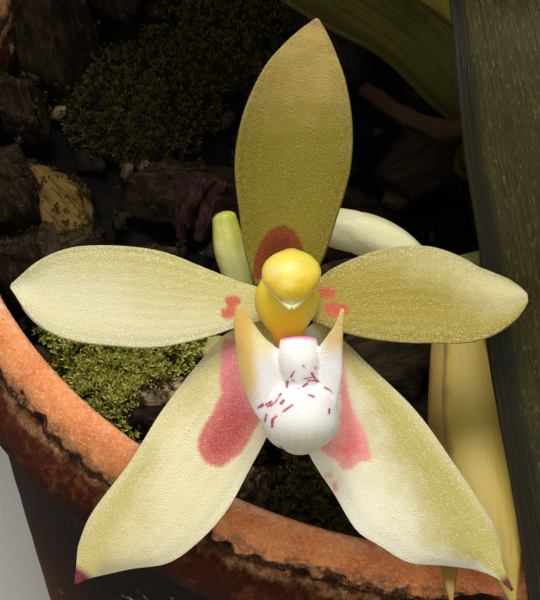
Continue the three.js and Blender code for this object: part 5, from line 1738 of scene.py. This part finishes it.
def lobe_place(base, tip, outer, inner, side, rise, curl):
    def place(along, across):
        outer_half, inner_half = between_stations(outer, along), between_stations(inner, along)
        half = np.where(across < 0, outer_half, inner_half) * across
        fullness = np.minimum(1, (outer_half + inner_half) / FULL_LOBE_WIDTH) ** 2
        x = base[0] + (tip[0] - base[0]) * along + side * half
        return on_flower(x, base[1] + (tip[1] - base[1]) * along, rise(along) + fullness * curl(across))

    return place


def lobe_thickness(along, across):
    return LOBE_THICKNESS * (1 - 0.3 * across**4)


lip_parts = Skin()
for line_points, widths, depths, bulge, steps, sides in LIP_BODIES.values():
    lip_line = flower_line(line_points)
    points, faces, _ = rod(lip_line, steps, sides, by_stations(widths), by_stations(depths), bulge)
    lip_parts.add(points, faces)
for lobe in LOBES.values():
    points, faces, _ = blade(lobe_place(**lobe), lobe_thickness, 70, 30)
    if lobe["side"] < 0:
        faces = faces[:, ::-1]
    lip_parts.add(points, faces)
lip_points, lip_faces = melted(lip_parts, "lip", LIP_VOXEL, SMOOTHING_ROUNDS)
print("lip points:", len(lip_points), "faces:", len(lip_faces))

# %% [markdown]
# The crimson dashes on the lip are short strokes. Each is a segment from one place to another, and a
# point of the lip keeps its distance to the nearest one. The finish draws the stroke where that distance
# is small and lets noise fray its edge.

# %% Dashes and the lip's finish
FRONT_FACE = 2.2
NO_DASH = 9.0
DASHES = [  # across and up of the start, across and up of the end, and half the width
    (0.22, -5.17, 0.35, -4.88, 0.06), (0.35, -4.88, 0.51, -4.71, 0.03), (-0.05, -5.53, -0.09, -5.92, 0.08),
    (1.16, -4.29, 1.23, -4.42, 0.03), (2.1, -4.42, 2.14, -4.55, 0.03), (1.83, -4.88, 1.98, -5.17, 0.07),
    (1.98, -5.17, 2.4, -5.53, 0.03), (1.2, -5.3, 1.78, -5.2, 0.03), (1.52, -5.43, 2.27, -5.46, 0.04),
    (2.1, -5.44, 2.3, -5.5, 0.07), (1.13, -5.92, 1.46, -5.66, 0.06), (0.74, -6.03, 0.84, -6.05, 0.03),
    (0.29, -5.4, 0.48, -5.46, 0.03), (1.59, -6.53, 1.98, -6.68, 0.06), (2.82, -5.98, 3.15, -6.14, 0.05),
    (3.15, -6.14, 3.37, -6.37, 0.03), (-0.56, -6.44, -0.66, -6.6, 0.05), (-0.66, -6.6, -0.88, -6.96, 0.02),
    (-0.88, -6.96, -1.24, -7.35, 0.03), (-0.36, -6.99, -0.56, -7.2, 0.09), (0.32, -7.31, -0.36, -7.8, 0.06),
    (-2.31, -7.57, -1.96, -7.28, 0.06), (-2.12, -7.5, -1.92, -7.41, 0.04), (-1.73, -7.31, -1.27, -7.05, 0.05),
    (-1.6, -7.47, -1.34, -7.28, 0.05), (-1.5, -7.15, -1.34, -7.41, 0.04), (-1.68, -8.06, -1.79, -8.61, 0.06),
    (-0.92, -8.19, -1.21, -8.45, 0.05), (-1.21, -8.45, -1.24, -8.97, 0.09), (3.18, -7.64, 3.16, -7.96, 0.07),
    (-0.62, -10.56, -0.27, -10.89, 0.06),
]


def nearest_dash(across, up):
    """How far points of the lip's front are from the edge of the nearest dash."""
    nearest = np.full(across.shape, NO_DASH)
    for x0, y0, x1, y1, half_width in DASHES:
        nearest = np.minimum(nearest, from_segment(across, up, (x0, y0), (x1, y1)) - half_width)
    return nearest


lip_bloom = in_flower(lip_points)
across, up, out = lip_bloom.T
dash_distance = np.where(out > FRONT_FACE, nearest_dash(across, up), NO_DASH)

lip_wax = tissue("lip_crystal_white", 0.15, (1.2, 1.0, 0.8), Roughness=0.34)
lip_spot = lip_wax.place()
lip_at = lip_wax.stored("bloom")
lip_x, lip_y = lip_wax.part(lip_at, "X"), lip_wax.part(lip_at, "Y")
lip_beads = lip_wax.cells(lip_spot, BEADS_PER_MM)
lip_speckle = lip_wax.grain(lip_spot, 3.0, 3.0, 0.6)
lip_cloud = lip_wax.grain(lip_spot, 0.5, 3.0)
sac_ribs = (lip_x * 9.0 + lip_cloud * 3.0).sine()
below = lip_y.step(-8.4, -10.4)
lobe_level = lip_y + (lip_cloud - 0.5) * 1.6 + (lip_speckle - 0.5) * 0.8
left_lobe = lip_x.step(-0.9, -1.7)
rolled_rim = (lip_x + lip_y * 0.1).step(-2.4, -3.5)
right_tip = lip_x.step(2.4, 3.2) * lobe_level.step(-4.4, -2.2)
tongue_level = lip_y + (lip_cloud - 0.5) * 0.4 + (lip_speckle - 0.5) * 0.3
tongue_edge = tongue_level.step(-2.42, -2.12) * lip_x.step(-1.3, -0.9) * lip_x.step(2.9, 2.5)
from_dash = lip_wax.stored("dashes", "Fac")
lip_colour = lip_wax.paint(
    srgb(244, 241, 236),
    # Painted shade: the sac turns grey-yellow towards its bottom, and the greenish ribbing there is painted
    # shade too.
    (srgb(200, 192, 152), lip_y.step(-8.2, -11.2) * 0.85),
    (srgb(196, 202, 170), below * sac_ribs.step(0.2, 1.0) * 0.35),
    (srgb(254, 240, 172), left_lobe * lobe_level.step(-4.6, -2.4) * 0.9),
    (srgb(240, 194, 96), rolled_rim * lobe_level.step(-8.2, -5.0) * 0.9),
    (srgb(236, 188, 88), left_lobe * lobe_level.step(-2.6, -0.4) * 0.7),
    (srgb(226, 188, 100), right_tip * 0.9),
    (srgb(220, 108, 178), tongue_edge * 0.8),
    (srgb(170, 30, 104), (from_dash + (lip_speckle - 0.5) * 0.1).step(0.07, -0.02) * 0.95),
    (srgb(226, 130, 186), from_dash.step(0.3, 0.05) * 0.12),
    # Painted highlights: white glints on the tops of the beads.
    (srgb(255, 254, 250), lip_beads.step(0.3, 0.1) * lip_speckle.step(0.5, 0.62) * 0.5),
)
lip_relief = below * sac_ribs * 0.35 - lip_beads * 0.8
lip_look = lip_wax.feed(
    colour=lip_colour, roughness=0.28 + lip_beads * 0.35, height=lip_relief, height_mm=0.05
)
lip_skin = Skin().add(lip_points, lip_faces, bloom=lip_bloom, dashes=dash_distance)
lip_skin.piece("lip_pouch", lip_look, "lip_white", ["lip"])

# %% [markdown]
# ## The fading flower
#
# Behind the open flower hangs an older one. Its tepals have gone limp: they hang, fold lengthwise and
# turn beige and brown from their margins. They are the solid's blades with folds added as relief, and
# each keeps a tone of its own, because they don't fade at the same pace.

# %% Limp tepals on their hub
FADING_TEPALS = [  # half the width, how far it has faded, and its spine
    (2.5, 0.15, [
        (12.6, 1, -12.2), (14.2, -2.4, -10.8), (14.8, -7.2, -9), (15.4, -12.6, -6), (16.5, -18, -3.8),
        (17.7, -23, -2.6)]),
    (1.2, 0.85, [
        (12.4, 1, -12.2), (12.4, -2.4, -11.6), (12.5, -8.8, -9.6), (12.4, -15, -6.4), (12.8, -23, -1)]),
    (2.2, 0.4, [
        (12.6, 1, -12.4), (14.6, -2.2, -13.9), (15.9, -8, -14), (16.4, -14, -12.5), (17, -18, -10.5)]),
    (1.9, 0.55, [
        (12.7, 1, -12.3), (15.8, -0.6, -12.6), (18.2, -6, -12.9), (19.6, -12, -12), (20, -16, -11)]),
    (1.7, 0.7, [(12.5, 1, -12.5), (13.2, -1.6, -13.7), (13.7, -8, -13), (13.6, -14, -11.4)]),
]
FADING_WIDTHS = [(0, 0.35), (0.12, 0.6), (0.35, 0.95), (0.6, 1), (0.8, 0.75), (0.93, 0.35), (1, 0.1)]
HUB_RADIUS = 1.33


def fading_place(half_width, spine):
    """The middle surface of one limp tepal, and the length of its spine."""
    line = flower_line(spine)

    def place(along, across):
        share = between_stations(FADING_WIDTHS, along)
        cup = 0.8 * across**2 * np.minimum(1, share) ** 2
        aside = half_width * share * across
        return line.at(along) + on_flower(aside, 0 * aside, -cup) - FLOWER_CENTRE

    return place, line.length


def fading_thickness(along, across):
    return SHEET_THICKNESS * (1 - 0.5 * across**4)


def limp_folds(along, across):
    folds = np.sin(across * 7.5 + 1.5 * np.sin(along * 6))
    return 0.09 * folds * np.clip(4 * along, 0, 1) * np.clip(4 * (1 - along), 0, 1)


fading_skin = Skin()
for half_width, tone, spine in FADING_TEPALS:
    place, length = fading_place(half_width, spine)
    form = blade(place, fading_thickness, 110, 34, limp_folds)
    rim = np.abs(form[2][:, 1:2])
    fading_skin.add_form(form, (length, half_width, 0), (tone * 50, 0, 0), rim=rim, tone=tone)
hub_line = flower_line([(11.9, 2.2, -12.2), (12.6, 0.6, -12.3), (13, -0.6, -12.4)])
hub_form = rod(hub_line, 30, 40, tapered(HUB_RADIUS, HUB_RADIUS))
fading_skin.add_form(hub_form, (4, 8, 0), rim=0.0, tone=0.1)

fading = tissue("fading_tissue", 0.35, (1.4, 1.1, 0.6), Roughness=0.55)
fading_fibre = fading.fibres((0.2, 2.0), 1.2, 4.0, 0.6)
fading_cloud = fading.grain(fading.place(), 0.4, 4.0)
fading_tones = [
    (0.0, srgb(190, 166, 78)), (0.35, srgb(176, 152, 66)), (0.6, srgb(170, 142, 62)),
    (0.9, srgb(146, 118, 52)),
]
brown_rim = (fading.stored("rim", "Fac") + (fading_cloud - 0.5) * 0.5).step(0.72, 1.0)
fading_colour = fading.paint(
    fading.ramp(fading.stored("tone", "Fac") + (fading_cloud - 0.5) * 0.3, fading_tones),
    (srgb(98, 72, 34), brown_rim * 0.7),
    (srgb(180, 164, 104), fading_fibre.step(0.55, 0.7) * 0.2),
)
fading_look = fading.feed(
    colour=fading_colour, roughness=0.65 - fading_fibre * 0.2, height=fading_fibre, height_mm=0.07
)
fading_skin.piece("fading_tepals_limp", fading_look, "fading_tissue", ["fading_tepals"])

# %% The fading flower's column and lip
old_lip_line = flower_line([(14.2, -2.8, -12.2), (14.5, -4.8, -11.8), (14.8, -7.2, -11.4)])
old_lip_widths = by_stations([(0, 0.5), (0.3, 0.8), (0.6, 0.6), (0.85, 0.95), (1, 0.5)])


def shrunk_ribs(along, turn):
    return 1 - 0.08 * np.abs(np.sin(3.5 * turn + 6 * along))


old_lip_form = rod(old_lip_line, 60, 36, old_lip_widths, wrinkle=shrunk_ribs)
old_lip = Skin().add_form(old_lip_form, (6, 5, 0), rim=0.3, tone=0.5)
old_lip.piece("fading_lip_shrunk", fading_look, "fading_tissue", ["fading_column_and_lip"])

# %% [markdown]
# ## The spent flower
#
# The first flower of the spike has withered into purple-brown shreds on its ovary. Shrivelled tissue is
# all sharp folds, so its straps get a strong wrinkle round them, at two sizes.

# %% Withered shreds
STRAPS = 5


def shrivelled(along, turn):
    coarse = 0.22 * np.sin(3 * turn + 8 * along) * np.sin(5 * along + 1)
    fine = 0.12 * np.abs(np.sin(6.5 * turn + 15 * along)) + 0.08 * np.sin(37 * along + 3 * turn)
    return 0.86 + coarse + fine


withered_skin = Skin()
core_line = flower_line([(-5.7, 8.6, -12), (-6.2, 9.4, -12.2), (-6.7, 10.3, -12.6)])
withered_skin.add_form(rod(core_line, 40, 36, tapered(1.1, 0.6), wrinkle=shrivelled), (4, 6, 0))
for k in range(STRAPS):
    turn = 2 * math.pi * k / STRAPS + 0.55
    fall = 2.6 + 0.9 * math.sin(3 * k + 1)
    strap_line = flower_line([
        (-6.2 + 0.3 * math.cos(turn), 9.3, -12.2 + 0.3 * math.sin(turn)),
        (-6.5 + 1.0 * math.cos(turn), 10.2, -12.2 + 1.4 * math.sin(turn)),
        (-7.2 + 1.2 * math.cos(turn), 9.2, -12.3 + 2.0 * math.sin(turn)),
        (-7.6 + 1.0 * math.cos(turn + 0.5), 9 - fall, -12.3 + 1.9 * math.sin(turn + 0.5)),
    ])
    strap_form = rod(strap_line, 90, 36, tapered(0.9, 0.4), tapered(0.45, 0.35), wrinkle=shrivelled)
    withered_skin.add_form(strap_form, (6, 3, 0), (k * 7, 0, 0))

withered = Finish("withered_shreds", Roughness=0.8, Specular_IOR_Level=0.12)
withered_fibre = withered.fibres((0.5, 2.5), 1.6, 5.0, 0.7)
withered_cloud = withered.grain(withered.place(), 0.8, 3.0)
withered_colour = withered.paint(
    srgb(18, 6, 7),
    (srgb(54, 26, 25), withered_fibre.step(0.4, 0.68)),
    (srgb(56, 30, 12), withered_cloud.step(0.5, 0.65) * 0.6),
)
withered_look = withered.feed(
    colour=withered_colour, roughness=0.9 - withered_fibre * 0.25, height=withered_fibre, height_mm=0.2
)
withered_skin.piece("withered_flower", withered_look, "withered_tissue", ["withered_perianth"])

# %% [markdown]
# ## The size of the plant
#
# Dressing must not change how large the plant is. The box of the solids and the box of what is seen are
# written side by side, so that they can be compared.

# %% Writing both boxes down
seen_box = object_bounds()
as_lists = [[list(map(float, corner)) for corner in box] for box in (solid_box, seen_box)]
print("solids:", as_lists[0], "seen:", as_lists[1])
